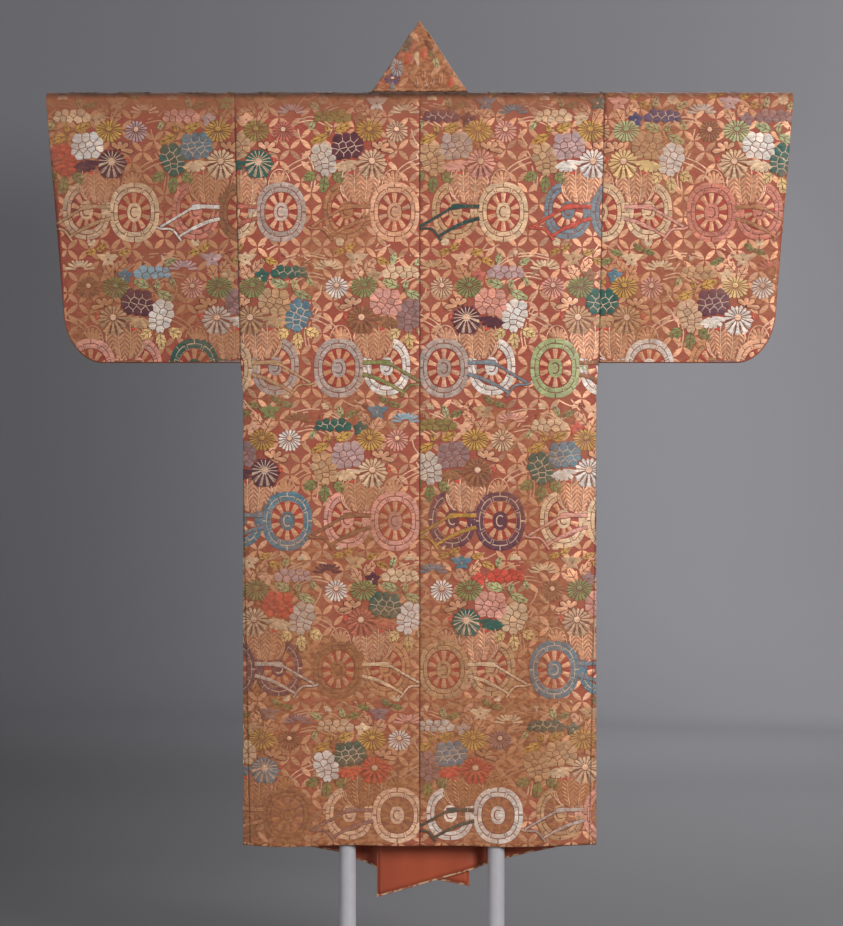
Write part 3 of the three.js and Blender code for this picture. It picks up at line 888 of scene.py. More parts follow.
def make_lining():
    shader = Shader("lining_silk", Roughness=0.5, Sheen_Weight=0.35, Sheen_Roughness=0.3)
    soft = shader.noise(7, detail=3, stretch=(1.6, 1, 0.5))
    base = shader.mix(shader.scaled(soft, 0.3, 0.7), *LINING_SILK)
    fine = shader.noise(900, detail=1, stretch=(1, 1, 0.4))
    shader.colour(shader.mix(shader.scaled(fine, 0.3, 0.7, 0, 0.12), base, LINING_THREAD))
    shader.bump(fine, 0.0002, 0.4)
    return shader.material


def make_edge_fold():
    shader = Shader("hem_edge", Roughness=0.55, Sheen_Weight=0.2)
    spots = shader.noise(90)
    shader.colour(shader.mix(shader.scaled(spots, 0.46, 0.54), *HEM_EDGE))
    shader.bump(spots, 0.0004, 0.5)
    return shader.material


def make_stand_paint():
    shader = Shader("stand_paint", Roughness=0.36, Specular_IOR_Level=0.5)
    fine = shader.noise(60, detail=4)
    shader.colour(shader.mix(shader.scaled(fine, 0.35, 0.7), *STAND_GREY))
    shader.bump(shader.noise(1400, detail=1), 0.00008, 0.3)
    return shader.material


def make_bar_padding():
    shader = Shader("bar_padding", Roughness=0.9, Sheen_Weight=0.2)
    weave = shader.node("ShaderNodeTexWave", {"bands_direction": "X"}, Vector=shader.place,
                        Scale=260.0, Distortion=0.6)
    base = shader.mix(shader.noise(30), *PADDING)
    shader.colour(shader.mix(shader.product(weave.outputs["Fac"], 0.2), base, PADDING_WEAVE))
    shader.bump(weave.outputs["Fac"], 0.0003, 0.6)
    return shader.material


materials = {
    "brocade_ground": make_brocade_ground(),
    "gold": make_thread("gold_thread", 0.3, 0.48, 0.48, True),
    "silk": make_thread("silk_thread", 0.0, 0.52, 0.42, False),
    "lining": make_lining(),
    "edge": make_edge_fold(),
    "paint": make_stand_paint(),
    "padding": make_bar_padding(),
}

# Colours of the threads

THREAD = {name: linear(code) for name, code in {
    "gold": "E8AA84", "pale_gold": "EFBE9B", "worn_gold": "C8895E", "silver": "BCA294",
    "cream": "E2BA92", "white": "E8D8CA", "grey_white": "CCB6A4", "green": "86884E",
    "light_green": "B0B47E", "deep_green": "5E7044", "yellow": "CA9A48", "light_yellow": "E8C282",
    "olive": "927A3E", "teal": "2C5C4E", "deep_teal": "234A42", "blue": "5E7A84", "sky": "92AEB8",
    "slate": "7A8288", "plum": "5E2B35", "purple": "6C3C46", "mauve": "98706A", "lilac": "C09A94",
    "pink": "E09A86", "rose": "C46A56", "coral": "CE4C38", "brown": "9A643E", "tan": "C4966C",
    "beige": "D2A884", "ochre": "BC8C3C", "dark": "5C2C22", "grey_blue": "7A848C",
    "outline": "DDB698", "line": "884632", "well": "A63E2C", "navy": "233C6C", "bark": "A4644A",
    "salmon": "D07E68", "peach": "DC9E7A", "faded": "B4764E",
}.items()}

# Motifs

def patch(points, role, under=False):
    """One float of thread. Its points are in millimetres from the cart's front wheel, x to the right
    and y up. It has a colour's role, and may lie under the others. A motif is a list of patches."""
    return SimpleNamespace(points=np.asarray(points, float), role=role, under=under, lift=0, above=0,
                           colour="gold")


def turned(points, degrees, centre):
    angle = math.radians(degrees)
    turn = np.array([[math.cos(angle), math.sin(angle)], [-math.sin(angle), math.cos(angle)]])
    return np.asarray(points, float) @ turn + centre


def on_oval(angle, half, power):
    """Places on an oval, which is squarer where its power is over 2."""
    x = np.sign(np.cos(angle)) * np.abs(np.cos(angle)) ** (2 / power) * half[0]
    y = np.sign(np.sin(angle)) * np.abs(np.sin(angle)) ** (2 / power) * half[1]
    return np.stack([x, y], -1)


def oval(centre, half, sides=10, degrees=0, power=2.0):
    angle = np.arange(sides) * 2 * math.pi / sides
    return turned(on_oval(angle, half, power), degrees, centre)


def reach_at(half, degrees):
    """How far a flower of some half width and half height reaches in a direction."""
    turn = math.radians(degrees)
    return math.hypot(half[0] * math.cos(turn), half[1] * math.sin(turn))


def clip(ring, values):
    """The part of a ring where the values at its points are positive."""
    kept = []
    for i in range(len(ring)):
        j = (i + 1) % len(ring)
        if values[i] >= 0:
            kept.append(ring[i])
        if (values[i] >= 0) != (values[j] >= 0):
            kept.append(ring[i] + (ring[j] - ring[i]) * values[i] / (values[i] - values[j]))
    return np.array(kept)


LINE = 1.45
VEIN_LIFT = 0.5


def petal(centre, degrees, near, far, width, blunt=0.35):
    """A petal that widens outwards, or a pointed one where blunt is 0."""
    length = far - near
    if blunt:
        half = ((near, 0.22), (near + 0.45 * length, 0.42), (near + 0.8 * length, 0.5), (far, blunt * 0.5))
    else:
        half = ((near, 0.3), (near + 0.38 * length, 0.5), (near + 0.74 * length, 0.27), (far, 0.02))
    ring = [(along, share * width) for along, share in half]
    ring += [(along, -share * width) for along, share in reversed(half)]
    return turned(ring, degrees, centre)


def scales(seeds, radius, role):
    """Scales of uneven sizes that press against each other, with a thin line between them."""
    patches = []
    seeds = np.asarray(seeds, float)
    sizes = radius * (1 + 0.17 * np.sin(12.9 * np.arange(len(seeds)) + 2))
    for i, seed in enumerate(seeds):
        ring = oval(seed, (sizes[i], sizes[i]), 20, 13)
        waves = 1 + 0.07 * np.cos(5 * np.arange(20) * math.pi / 10 + i)
        ring = seed + (ring - seed) * waves[:, None]
        for j, other in enumerate(seeds):
            apart = np.linalg.norm(other - seed)
            if i != j and apart < sizes[i] + sizes[j] and len(ring) > 2:
                toward = (other - seed) / apart
                reach = (apart + (sizes[i] ** 2 - sizes[j] ** 2) / apart - LINE) / 2
                ring = clip(ring, reach - (ring - seed) @ toward)
        if len(ring) > 2:
            patches.append(patch(ring, role))
    return patches


def peony(centre, half, degrees, role, rows):
    """A peony drawn as a heap of scales, on its line colour."""
    seeds = []
    pitch = 2 * half[1] / len(rows)
    for j, count in enumerate(rows):
        y = half[1] - pitch * (j + 0.5)
        reach = half[0] * math.sqrt(max(1 - (y / (half[1] * 1.15)) ** 2, 0.15))
        for i in range(count):
            x = reach * ((2 * i + 1) / count - 1)
            seeds.append((x + 1.9 * math.sin(5 * i + 3 * j), y + 1.7 * math.sin(7 * i + 2 * j)))
    radius = 0.62 * max(pitch, 2 * half[0] / max(rows))
    base = oval(centre, (half[0] * 0.95, half[1] * 0.95), 16, degrees, 2.3)
    return [patch(base, role + "_line", True)] + scales(turned(seeds, degrees, centre), radius, role)


LOBE_ARC = (188, 352)


def mum(centre, half, role, eye, petals=17, lobes=0):
    """A chrysanthemum round an eye above its middle. Lobes are broad cut petals below."""
    centre = np.array(centre, float)
    half = np.array(half, float)
    eye_at = centre + (0, 0.2 * half[1])
    base = oval(centre, half * 0.84, 14)
    patches = [patch(base, role + "_line", True)]
    angles = [(360 * (i + 0.5) / petals, 180 / petals, 1) for i in range(petals)]
    if lobes:
        first, last = LOBE_ARC
        angles = [a for a in angles if not first < a[0] < last]
        spread = (last - first) / lobes / 2
        angles += [(first + spread * (2 * i + 1), spread, 3) for i in range(lobes)]
    for number, (middle, spread, teeth) in enumerate(angles):
        reach = 1 if number % 2 else 0.93
        peak, dip = (0.97, 1.0) if teeth == 1 else (1.0, 0.9)
        outline = []
        for k in range(2 * teeth + 3):
            turn = math.radians(middle + spread * (k / (teeth + 1) - 1) * 0.96)
            notch = 0.86 if k in (0, 2 * teeth + 2) else (peak if k % 2 else dip)
            outline.append(centre + half * (math.cos(turn), math.sin(turn)) * reach * notch)
        outline = np.array(outline)
        inner = eye_at + (outline[[-1, 0]] - eye_at) * 0.27
        half_way = eye_at + (outline[[-1, 0]] - eye_at) * 0.66
        ring = np.concatenate([outline, half_way[:1], inner, half_way[1:]])
        axis = centre + half * (math.cos(math.radians(middle)), math.sin(math.radians(middle))) - eye_at
        across = np.array((-axis[1], axis[0])) / np.linalg.norm(axis)
        side = (ring - eye_at) @ across
        ring = ring - np.outer(np.sign(side) * np.minimum(np.abs(side), LINE * 0.5), across)
        patches.append(patch(ring, role))
        if teeth == 3:
            for turn in (-0.33, 0.33):
                angle = math.radians(middle + turn * spread * 2)
                tip = centre + half * (math.cos(angle), math.sin(angle))
                line = strip([lerp(eye_at, tip, 0.42), lerp(eye_at, tip, 0.86)], 1.0, role + "_line", 40)
                line[0].above = VEIN_LIFT
                patches += line
    patches.append(patch(oval(eye_at, half * 0.2, 9), eye))
    return patches


def petal_fan(centre, half, role, angles, near, width, blunt):
    patches = []
    for degrees in angles:
        far = reach_at(half, degrees)
        patches.append(patch(petal(centre, degrees, near * far, far, width, blunt), role))
    return patches


def half_mum(centre, half, role):
    """A chrysanthemum seen from the side, its petals fanned upwards."""
    return petal_fan(centre, half, role, range(6, 180, 21), 0.3, 5.2, 0.5)


def bloom_below(centre, half, role):
    """Broad petals that hang below the flowers in front of them."""
    return petal_fan(centre, half, role, range(-168, 0, 26), 0.1, 8.6, 0.7)


LEAF_VEIN = 1.2


def leaf(middle, degrees, length, width, role, teeth=3):
    """A cut leaf with toothed sides, and veins in its line colour."""
    direction = np.array((math.cos(math.radians(degrees)), math.sin(math.radians(degrees))))
    start = np.array(middle) - direction * length / 2

    def swell(s):
        return 0.5 * width * math.sin(math.pi * min(max(s, 0.03), 0.97) ** 0.85) ** 0.75

    side = [(0, 0.6)]
    for i in range(teeth):
        side.append(((i + 0.45) / teeth, swell((i + 0.3) / teeth)))
        side.append(((i + 0.98) / teeth, swell((i + 0.62) / teeth) * 1.12))
        side.append(((i + 1.0) / teeth, swell((i + 0.95) / teeth) * 0.8))
    outline = [(s * length, h) for s, h in side] + [(1.04 * length, 0)]
    outline += [(s * length, -h) for s, h in side[::-1]]
    patches = [patch(turned(outline, degrees, start), role)]
    veins = [((0, 0), (0.96, 0))]
    for i in range(teeth):
        for turn in (1, -1):
            root, tip = (i + 0.12) / teeth, (i + 0.72) / teeth
            veins.append(((root, 0), (tip, turn * 0.86 * swell((i + 0.5) / teeth) / length)))
    for a, b in veins:
        line = turned(np.array((a, b)) * length, degrees, start)
        vein = strip(line, LEAF_VEIN, role + "_line", 40)
        vein[0].above = VEIN_LIFT
        patches += vein
    return patches


def ivy(centre, half, role):
    """A pointed five-lobed leaf in gold with a dark line round it."""
    patches = []
    for degrees, share in ((-8, 1), (38, 0.86), (90, 1), (142, 0.86), (188, 1)):
        far = share * reach_at(half, degrees)
        patches.append(patch(petal(centre, degrees, 0, far + 1.4, 12, 0.05), role + "_line", True))
        patches.append(patch(petal(centre, degrees, 2, far, 9.4, 0.05), role))
    return patches


SMOOTHING_ROUNDS = 6


def strip(points, width, role, step=12, gap=0.0, under=False):
    """A band along a smooth line, in short pieces."""
    points = np.asarray(points, float)
    lengths = np.concatenate([[0], np.cumsum(np.hypot(*np.diff(points, axis=0).T))])
    count = max(int(round(lengths[-1] / step)), 1)
    dense = np.linspace(0, lengths[-1], count * 4 + 1)
    curve = np.stack([np.interp(dense, lengths, points[:, k]) for k in (0, 1)], 1)
    for _ in range(SMOOTHING_ROUNDS):
        curve[1:-1] = (curve[:-2] + 2 * curve[1:-1] + curve[2:]) / 4
    slope = np.gradient(curve, axis=0)
    slope /= np.linalg.norm(slope, axis=1, keepdims=True)
    side = np.stack([-slope[:, 1], slope[:, 0]], 1) * width / 2
    patches = []
    for i in range(count):
        a, b = 4 * i, 4 * i + 4
        middle = 4 * i + 2
        cut = slope[a] * gap / 2
        ring = [curve[a] - side[a] + cut, curve[middle] - side[middle], curve[b] - side[b] - cut,
                curve[b] + side[b] - cut, curve[middle] + side[middle], curve[a] + side[a] + cut]
        patches.append(patch(ring, role, under))
    return patches


def bellflower(centre, role, size=1.0):
    """A bellflower from the side, with one petal up, two wide ones and two narrow ones below."""
    petals = ((92, 15, 15), (24, 24, 13), (156, 24, 13), (-46, 17, 9), (-96, 12, 8), (-134, 17, 9))
    base = oval(centre, (9 * size, 6 * size), 8)
    patches = [patch(base, role + "_line", True)]
    for degrees, length, width in petals:
        patches.append(patch(petal(centre, degrees, 1.8, length * size, width * size, 0), role))
    return patches


def star(centre, role):
    """A small flower of five broad points."""
    patches = [patch(oval(centre, (9, 9), 8), role + "_line", True)]
    for degrees in (90, 18, 162, -54, 234):
        patches.append(patch(petal(centre, degrees, 1.2, 15.5, 12.5, 0), role))
    return patches


def blossom(centre, radius, role, eye="bud"):
    patches = []
    for i in range(5):
        patches.append(patch(petal(centre, 90 + 72 * i, 0.2 * radius, radius, radius * 0.95, 0.7), role))
    patches.append(patch(oval(centre, (radius * 0.2,) * 2, 6), eye))
    return patches


def cluster(centre, role):
    """A row of small blooms in two heaps."""
    seeds = [(-27, -3), (-17, 5), (-12, -6), (-3, 4), (5, -6), (13, 6), (16, -5), (26, 3), (29, -5)]
    seeds = np.array(seeds) + centre
    patches = [patch(oval(centre, (29, 8), 14), role + "_line", True)]
    patches += scales(seeds, 7.6, role)
    return patches


WHEEL_POWER = 2.25


def wheel_point(centre, half, degrees, share):
    return on_oval(np.radians(degrees), half, WHEEL_POWER) * share + centre


def ring_blocks(centre, half, outer, inner, first, pieces, gap, role):
    """Eight blocks of a wheel's ring, each in some pieces, with a gap in degrees between the blocks."""
    patches = []
    step = (45 - gap) / pieces
    for block in range(8):
        for piece in range(pieces):
            start = first + block * 45 + gap / 2 + piece * step
            degrees = np.linspace(start, start + step, 3)
            ring = np.concatenate([
                wheel_point(centre, half, degrees, outer), wheel_point(centre, half, degrees[::-1], inner),
            ])
            patches.append(patch(ring, role))
    return patches


JOINT = 1.7
TOOTH = 5.0

# Parts of a wheel as shares of its half size, from their outer to their inner edge

LONG_BLOCKS = (1.0, 0.84)
SHORT_BLOCKS = (0.81, 0.67)
TEETH = (0.845, 0.67)
WHEEL_BASE = (0.99, 0.66)


def wheel(centre, half, role):
    """An oval wheel: a ring of blocks with teeth between shorter blocks, ten spokes and a hub."""
    patches = ring_blocks(centre, half, *LONG_BLOCKS, 0, 3, JOINT, role)
    patches += ring_blocks(centre, half, *SHORT_BLOCKS, 22.5, 2, TOOTH + 2 * JOINT, role)
    patches += ring_blocks(centre, half, *TEETH, 0, 1, 45 - TOOTH, role)
    for spoke in range(10):
        angle = math.radians(18 + 36 * spoke)
        along = np.array([math.cos(angle) * half[0], math.sin(angle) * half[1]])
        across = np.array([-math.sin(angle), math.cos(angle)])
        ring = [along * 0.32 - across * 2.8, along * 0.625 - across * 5.2, along * 0.65,
                along * 0.625 + across * 5.2, along * 0.32 + across * 2.8]
        patches.append(patch(np.array(ring) + centre, "spoke"))
        fan = np.linspace(36 * spoke, 36 * spoke + 36, 4)
        well = [wheel_point(centre, half, fan, 0.655), wheel_point(centre, half, fan[::-1], 0.31)]
        patches.append(patch(np.concatenate(well), "well", True))
    patches.append(patch(oval(centre, (0.285 * half[0], 0.33 * half[1]), 14, 0, 2.2), role, True))
    rim = ring_blocks(centre, half, *WHEEL_BASE, 0, 2, 0, role + "_line")
    for p in rim:
        p.under = True
    return patches + rim + hub_mark(centre)


def hub_mark(centre):
    arc = [(centre[0] - 7.4 * math.cos(math.radians(a)), centre[1] + 11 * math.sin(math.radians(a)))
           for a in range(46, 315, 24)]
    return strip(arc, 2.2, "hub_mark", step=7)


BASKET = SimpleNamespace(centre=(65, 50), half=(38, 33), power=2.4, ribs=(-1.02, -0.34, 0.34, 1.02))


def basket_room(points):
    """How far inside the basket's rounded outline points are, as a share."""
    local = np.abs(np.asarray(points) - BASKET.centre) / BASKET.half
    return 1 - (local ** BASKET.power).sum(axis=1) ** (1 / BASKET.power)


def basket_place(share, y):
    """A place across the basket: its ribs draw together at the foot."""
    rise = (y - BASKET.centre[1]) / BASKET.half[1]
    return BASKET.centre[0] + share * BASKET.half[0] * (0.9 + 0.12 * rise - 0.22 * rise ** 2)


STROKE_RISE = 10
STROKE_HEIGHT = 6.9
STROKE_PITCH = 8.3
STROKES_BELOW = 14
FOOT_BARS = (14, 8.5)
FOOT_BAR_HALF = 34
RIB_LIFT = 0.4


def basket():
    """A round basket of slanting strokes that meet at its ribs, over a double bar."""
    patches = [patch(oval(BASKET.centre, BASKET.half, 20, 0, BASKET.power), "basket_base", True)]
    top = BASKET.centre[1] + BASKET.half[1]
    half_pitch = (BASKET.ribs[1] - BASKET.ribs[0]) / 2
    for rib in BASKET.ribs:
        for side in (-1, 1):
            y = BASKET.centre[1] - BASKET.half[1] - STROKES_BELOW
            while y < top:
                high = y + STROKE_RISE
                a = basket_place(rib, y) + side * 1.3
                b = basket_place(rib + side * half_pitch, high) - side * 0.1
                ring = np.array([(a, y), (b, high), (b, high + STROKE_HEIGHT), (a, y + STROKE_HEIGHT)])
                values = basket_room(ring)
                if values.max() > 0:
                    ring = clip(ring, values) if values.min() < 0 else ring
                    if len(ring) > 2:
                        patches.append(patch(ring, "basket"))
                y += STROKE_PITCH
    ribs = []
    for rib in BASKET.ribs:
        line = [(basket_place(rib, y), y) for y in np.linspace(top - 63, top - 3, 7)]
        ribs += strip(line, 1.9, "basket_line", 14)
    rim = oval(BASKET.centre, BASKET.half, 40, 0, BASKET.power)
    ribs += strip(np.concatenate([rim[-7:], rim[:27]]), 2.2, "basket_line", 12)
    for p in ribs:
        p.above = RIB_LIFT
    patches += ribs
    middle = BASKET.centre[0]
    for y in FOOT_BARS:
        patches += strip([(middle - FOOT_BAR_HALF, y), (middle + FOOT_BAR_HALF, y)], 2.6, "basket_line", 14)
    return patches


DOME = SimpleNamespace(foot=(3, 49), half=(21, 33))


def dome():
    """An arch of broad strokes behind the wheel's top."""
    patches = []
    for degrees in range(12, 180, 19):
        far = 0.86 * reach_at(DOME.half, degrees)
        patches.append(patch(petal(DOME.foot, degrees, 5, far, 6.2, 0.6), "basket"))
    patches.append(patch(oval(DOME.foot, (20, 31), 16), "basket_base", True))
    arc = [(DOME.foot[0] + DOME.half[0] * math.cos(math.radians(a)),
            DOME.foot[1] + DOME.half[1] * math.sin(math.radians(a))) for a in range(0, 181, 18)]
    return patches + strip(arc, 1.8, "basket_line", 10)


SHAFTS = (
    ([(45, 10), (84, 11)], 7.0),
    ([(82, 11), (98, 9)], 9.5),
    ([(96, 9), (126, -9), (158, -28)], 4.4),
    ([(45, -12), (74, -20), (98, -32)], 6.4),
    ([(97, -31), (122, -46)], 4.4),
    ([(118, -55), (124, -47), (130, -37), (137, -31), (147, -31), (157, -33), (166, -28)], 3.6),
)
SHAFT_LIFT = 0.62


def shafts():
    """Two tapering shafts with a thick joint and a curled yoke, which lie over the wheel behind."""
    patches = []
    for line, width in SHAFTS:
        patches += strip(line, width, "shaft", 12, 0.7)
    for p in patches:
        p.above = SHAFT_LIFT
    rims = []
    for line, width in SHAFTS:
        rims += strip(line, width + 2.4, "shaft_line", 12)
    for p in rims:
        p.above = SHAFT_LIFT - 0.3
    patches += rims
    for x in (52, 60):
        block = [(x - 2.6, -6), (x + 2.6, -6), (x + 2.6, 6), (x - 2.6, 6)]
        patches.append(patch(block, "wheel"))
    return patches


GRASS = (
    ((-4, 76), (-16, 88), (-32, 97), (-50, 104)),
    ((-6, 69), (-20, 80), (-36, 89), (-54, 95)),
    ((14, -104), (-6, -88), (-30, -79), (-58, -78), (-84, -84)),
    ((16, -110), (-6, -94), (-30, -85), (-58, -83), (-88, -90)),
    ((-44, -86), (-62, -98), (-72, -112)),
    ((118, 162), (138, 176), (160, 182), (182, 176)),
    ((118, 156), (140, 170), (162, 175), (186, 169)),
    ((30, -60), (44, -78), (62, -92)),
    ((-62, 40), (-66, 66), (-60, 92), (-46, 116)),
    ((-56, 40), (-60, 66), (-54, 90), (-40, 112)),
    ((-46, 126), (-36, 140), (-32, 158)),
    ((8, -62), (26, -72), (48, -74)),
)


# Leaves: middle, way it points, length, width, role and teeth, then what it covers: half size and turn

LEAVES = (
    ((100, 160), 158, 34, 17, "leaf_high", 3, (15, 8), -22),
    ((141, 140), -24, 38, 16, "leaf_high", 3, (18, 8), -24),
    ((127, 157), 74, 20, 11, "leaf_high", 2, (5, 10), 0),
    ((160, 68), -24, 28, 20, "leaf_low", 3, (13, 9), -24),
    ((134, 54), -84, 34, 19, "leaf_low", 3, (9, 16), 6),
    ((107, 66), -142, 27, 20, "leaf_low", 3, (13, 9), 38),
    ((35, 182), 118, 32, 20, "leaf_plain", 3, (9, 14), 28),
    ((58, 194), 48, 32, 20, "leaf_plain", 3, (14, 9), 48),
    ((2, 222), 196, 26, 12, "leaf_small", 3, (12, 6), 16),
    ((20, 229), 40, 26, 12, "leaf_small", 3, (12, 6), 40),
    ((62, 220), 20, 26, 12, "leaf_small", 3, (12, 6), 20),
    ((82, 204), -22, 28, 13, "leaf_small", 3, (13, 6), -22),
    ((104, 208), 72, 24, 12, "leaf_green", 3, (6, 11), -18),
    ((152, 202), 30, 26, 13, "leaf_green", 3, (12, 6), 30),
    ((156, 166), -60, 20, 11, "leaf_green", 2, (5, 9), 30),
)
RANK_LIFT = 0.012
STALK_COVER = (8, 4.4)


def stalk_cover(p, middle):
    """What one piece of a grass stalk covers."""
    along = p.points[2] - p.points[0]
    return tuple(middle), STALK_COVER, math.degrees(math.atan2(along[1], along[0]))


def cart_unit():
    """One cart facing right, with its flowers, the topmost motifs first, and what each covers."""
    layers = [
        (mum((43, 91), (30, 30), "low", "eye", 19, 5), ((43, 91), (29, 29), 0)),
        (peony((90, 124), (31, 20), -8, "oval", (3, 4, 4, 3)), ((90, 124), (32, 21), -8)),
        (peony((134, 98), (22, 28), -20, "side", (2, 3, 3, 3, 2)), ((134, 98), (23, 29), -20)),
        (mum((48, 154), (28, 22), "mid", "mid_eye", 19), ((48, 154), (27, 21), 0)),
        (mum((-4, 153), (23, 22), "small", "eye", 17), ((-4, 153), (22, 21), 0)),
        (bloom_below((95, 98), (29, 22), "below"), ((95, 88), (27, 13), 0)),
        (ivy((27, 119), (27, 16), "ivy"), ((27, 125), (24, 9), 0)),
        (blossom((14, 98), 6, "bud_red"), ((14, 98), (6, 6), 0)),
        (blossom((82, 78), 6.5, "bud_red"), ((82, 78), (6, 6), 0)),
        (half_mum((-20, 188), (28, 17), "half"), ((-20, 194), (27, 11), 0)),
        (bellflower((34, 207), "bell"), ((34, 206), (22, 15), 0)),
        (star((66, 176), "star"), ((66, 176), (15, 12), 0)),
        (cluster((118, 183), "cluster"), ((118, 183), (32, 11), 0)),
    ]
    for middle, way, length, width, role, teeth, half, degrees in LEAVES:
        layers.append((leaf(middle, way, length, width, role, teeth), (middle, half, degrees)))
    layers += [
        (blossom((136, 214), 10, "bud_flower"), ((136, 214), (9, 9), 0)),
        (blossom((2, 240), 8, "bud_flower"), ((2, 240), (7, 7), 0)),
        (wheel((0, 0), (47.5, 57), "wheel"), ((0, 0), (48, 58), 0)),
        (shafts(), ()),
        (dome(), ((3, 60), (21, 22), 0)),
        (basket(), ((65, 48), (39, 36), 0)),
        (wheel((91, 3), (45, 55), "back"), ((91, 3), (46, 56), 0)),
    ]
    layers += [(strip(line, 2.4, "grass", 10, 0, True), None) for line in GRASS]
    groups, covers = [], []
    for rank, (patches, cover) in enumerate(layers):
        kept = []
        middles = np.array([p.points.mean(axis=0) for p in patches])
        hidden = inside_any(middles, covers)
        for p, out in zip(patches, hidden):
            if not out:
                p.lift = RANK_LIFT * (len(layers) - rank) + p.above
                kept.append(p)
        groups.append(kept)
        if cover:
            covers.append(cover)
        elif cover is None:
            covers += [stalk_cover(p, at) for p, at, out in zip(patches, middles, hidden) if not out]
    return [p for kept in groups[::-1] for p in kept], covers


def inside_any(points, covers):
    found = np.zeros(len(points), bool)
    for centre, half, degrees in covers:
        local = turned(points - np.array(centre), -degrees, (0, 0)) / half
        found |= (np.abs(local) ** 2.3).sum(axis=1) < 1
    return found


UNIT, COVERS = cart_unit()

# Carts as placed: kind A faces left and B right, x of the front wheel, and the colours of its parts

COLOUR_COLUMNS = "wheel back shaft low oval side mid small half star cluster bell".split()
BACK_ROWS = {0: 1740, 1: 1454, 2: 1157, 3: 866, 4: 583, 5: 306}
FRONT_ROWS = {0: 1695, 1: 1408, 2: 1118, 3: 832, 4: 545, 5: 268}
ROW_STRETCH = {4: 0.98, 5: 0.93}
COLLAR_ROWS_UP = 96

BACK_CARTS = {
    "sleeve_left": (
        ("A", -544, 1, "cream beige tan plum white coral yellow lilac gold tan cream tan"),
        ("A", -336, 1, "brown salmon white cream blue teal yellow mauve pink lilac pink green"),
        ("B", -628, 2, "pink pink brown tan plum white green brown cream blue sky cream"),
        ("B", -430, 2, "teal teal slate grey_white mauve lilac green pink lilac tan lilac lilac"),
        ("B", -640, 0, "cream cream tan gold tan pink green pink gold brown brown green"),
        ("B", -431, 0, "gold cream brown tan green pink green tan tan brown brown green"),
    ),
    "body_left": (
        ("A", -264, 1, "silver cream rose teal tan tan olive rose lilac gold mauve tan"),
        ("A", -48, 1, "gold faded faded beige plum grey_white ochre beige cream brown olive white"),
        ("B", -366, 2, "cream silver tan tan tan blue green white pink teal teal cream"),
        ("B", -154, 2, "silver white green brown pink mauve green white cream tan cream beige"),
        ("A", -252, 3, "blue blue slate plum mauve grey_white ochre white brown gold brown green"),
        ("A", -47, 3, "pink pink brown cream lilac tan yellow pink sky teal teal blue"),
        ("B", -359, 4, "purple purple grey_white cream coral grey_white green tan gold gold lilac cream"),
        ("B", -155, 4, "brown worn_gold cream rose teal white green white plum plum cream tan"),
        ("A", -252, 5, "brown brown worn_gold blue cream teal yellow brown mauve tan cream mauve"),
        ("A", -43, 5, "pale_gold pale_gold mauve coral teal white yellow white pink cream beige mauve"),
    ),
    "body_right": (
        ("A", 159, 1, "cream tan deep_teal pink silver tan yellow pink blue plum purple blue"),
        ("A", 373, 1, "slate slate coral white lilac tan yellow white pink cream cream teal"),
        ("B", 46, 2, "silver white slate plum pink white green beige tan rose lilac gold"),
        ("B", 258, 2, "light_green white brown tan teal tan green pink cream brown pink tan"),
        ("A", 153, 3, "purple purple ochre brown mauve grey_white yellow cream pink gold olive tan"),
        ("A", 365, 3, "cream cream pink white blue teal yellow light_yellow tan coral cream gold"),
        ("B", 46, 4, "tan tan cream teal pink cream green white slate coral coral blue"),
        ("B", 256, 4, "blue blue slate beige pink pink green brown cream mauve coral tan"),
        ("A", 149, 5, "white white deep_teal coral blue mauve yellow mauve cream silver grey_white cream"),
        ("A", 358, 5, "pink tan silver cream tan tan yellow cream rose teal teal tan"),
    ),
    "sleeve_right": (
        ("B", 345, 1, "cream cream pink light_yellow tan white light_green tan cream navy navy pink"),
        ("B", 556, 1,
         "salmon salmon faded cream white teal light_green brown grey_white mauve mauve lilac"),
        ("A", 438, 2, "white white tan tan teal tan yellow pink cream blue tan cream"),
        ("A", 650, 2, "gold worn_gold mauve white purple beige light_yellow white rose cream tan beige"),
        ("A", 860, 2, "pink pink brown cream teal rose yellow pink white plum tan cream"),
    ),
}
CART_PITCH = 209
FIRST_CART = -40
ROW_SHIFT = 104
PAST_END = 160
COLOURS_PER_ROW = 3
COLOURS_PER_CART = 5


def front_carts(start, end, rows, seed):
    """Carts for a hidden side, in the same rows and pitch, with colours from all the back's carts."""
    pool = [cart[3] for carts in BACK_CARTS.values() for cart in carts]
    carts = []
    for row in rows:
        kind = "AB"[row % 2]
        x = start + FIRST_CART + ROW_SHIFT * (row % 2)
        index = seed + COLOURS_PER_ROW * row
        while x < end + PAST_END:
            carts.append((kind, x, row, pool[index % len(pool)]))
            x += CART_PITCH
            index += COLOURS_PER_CART
    return carts


DARK_THREADS = {"plum", "purple", "teal", "deep_teal", "dark", "navy", "blue", "deep_green"}
LEAF_COLOURS = {"A": ("yellow", "green", "green"), "B": ("light_green", "light_yellow", "yellow")}
WORN_ROW = 5


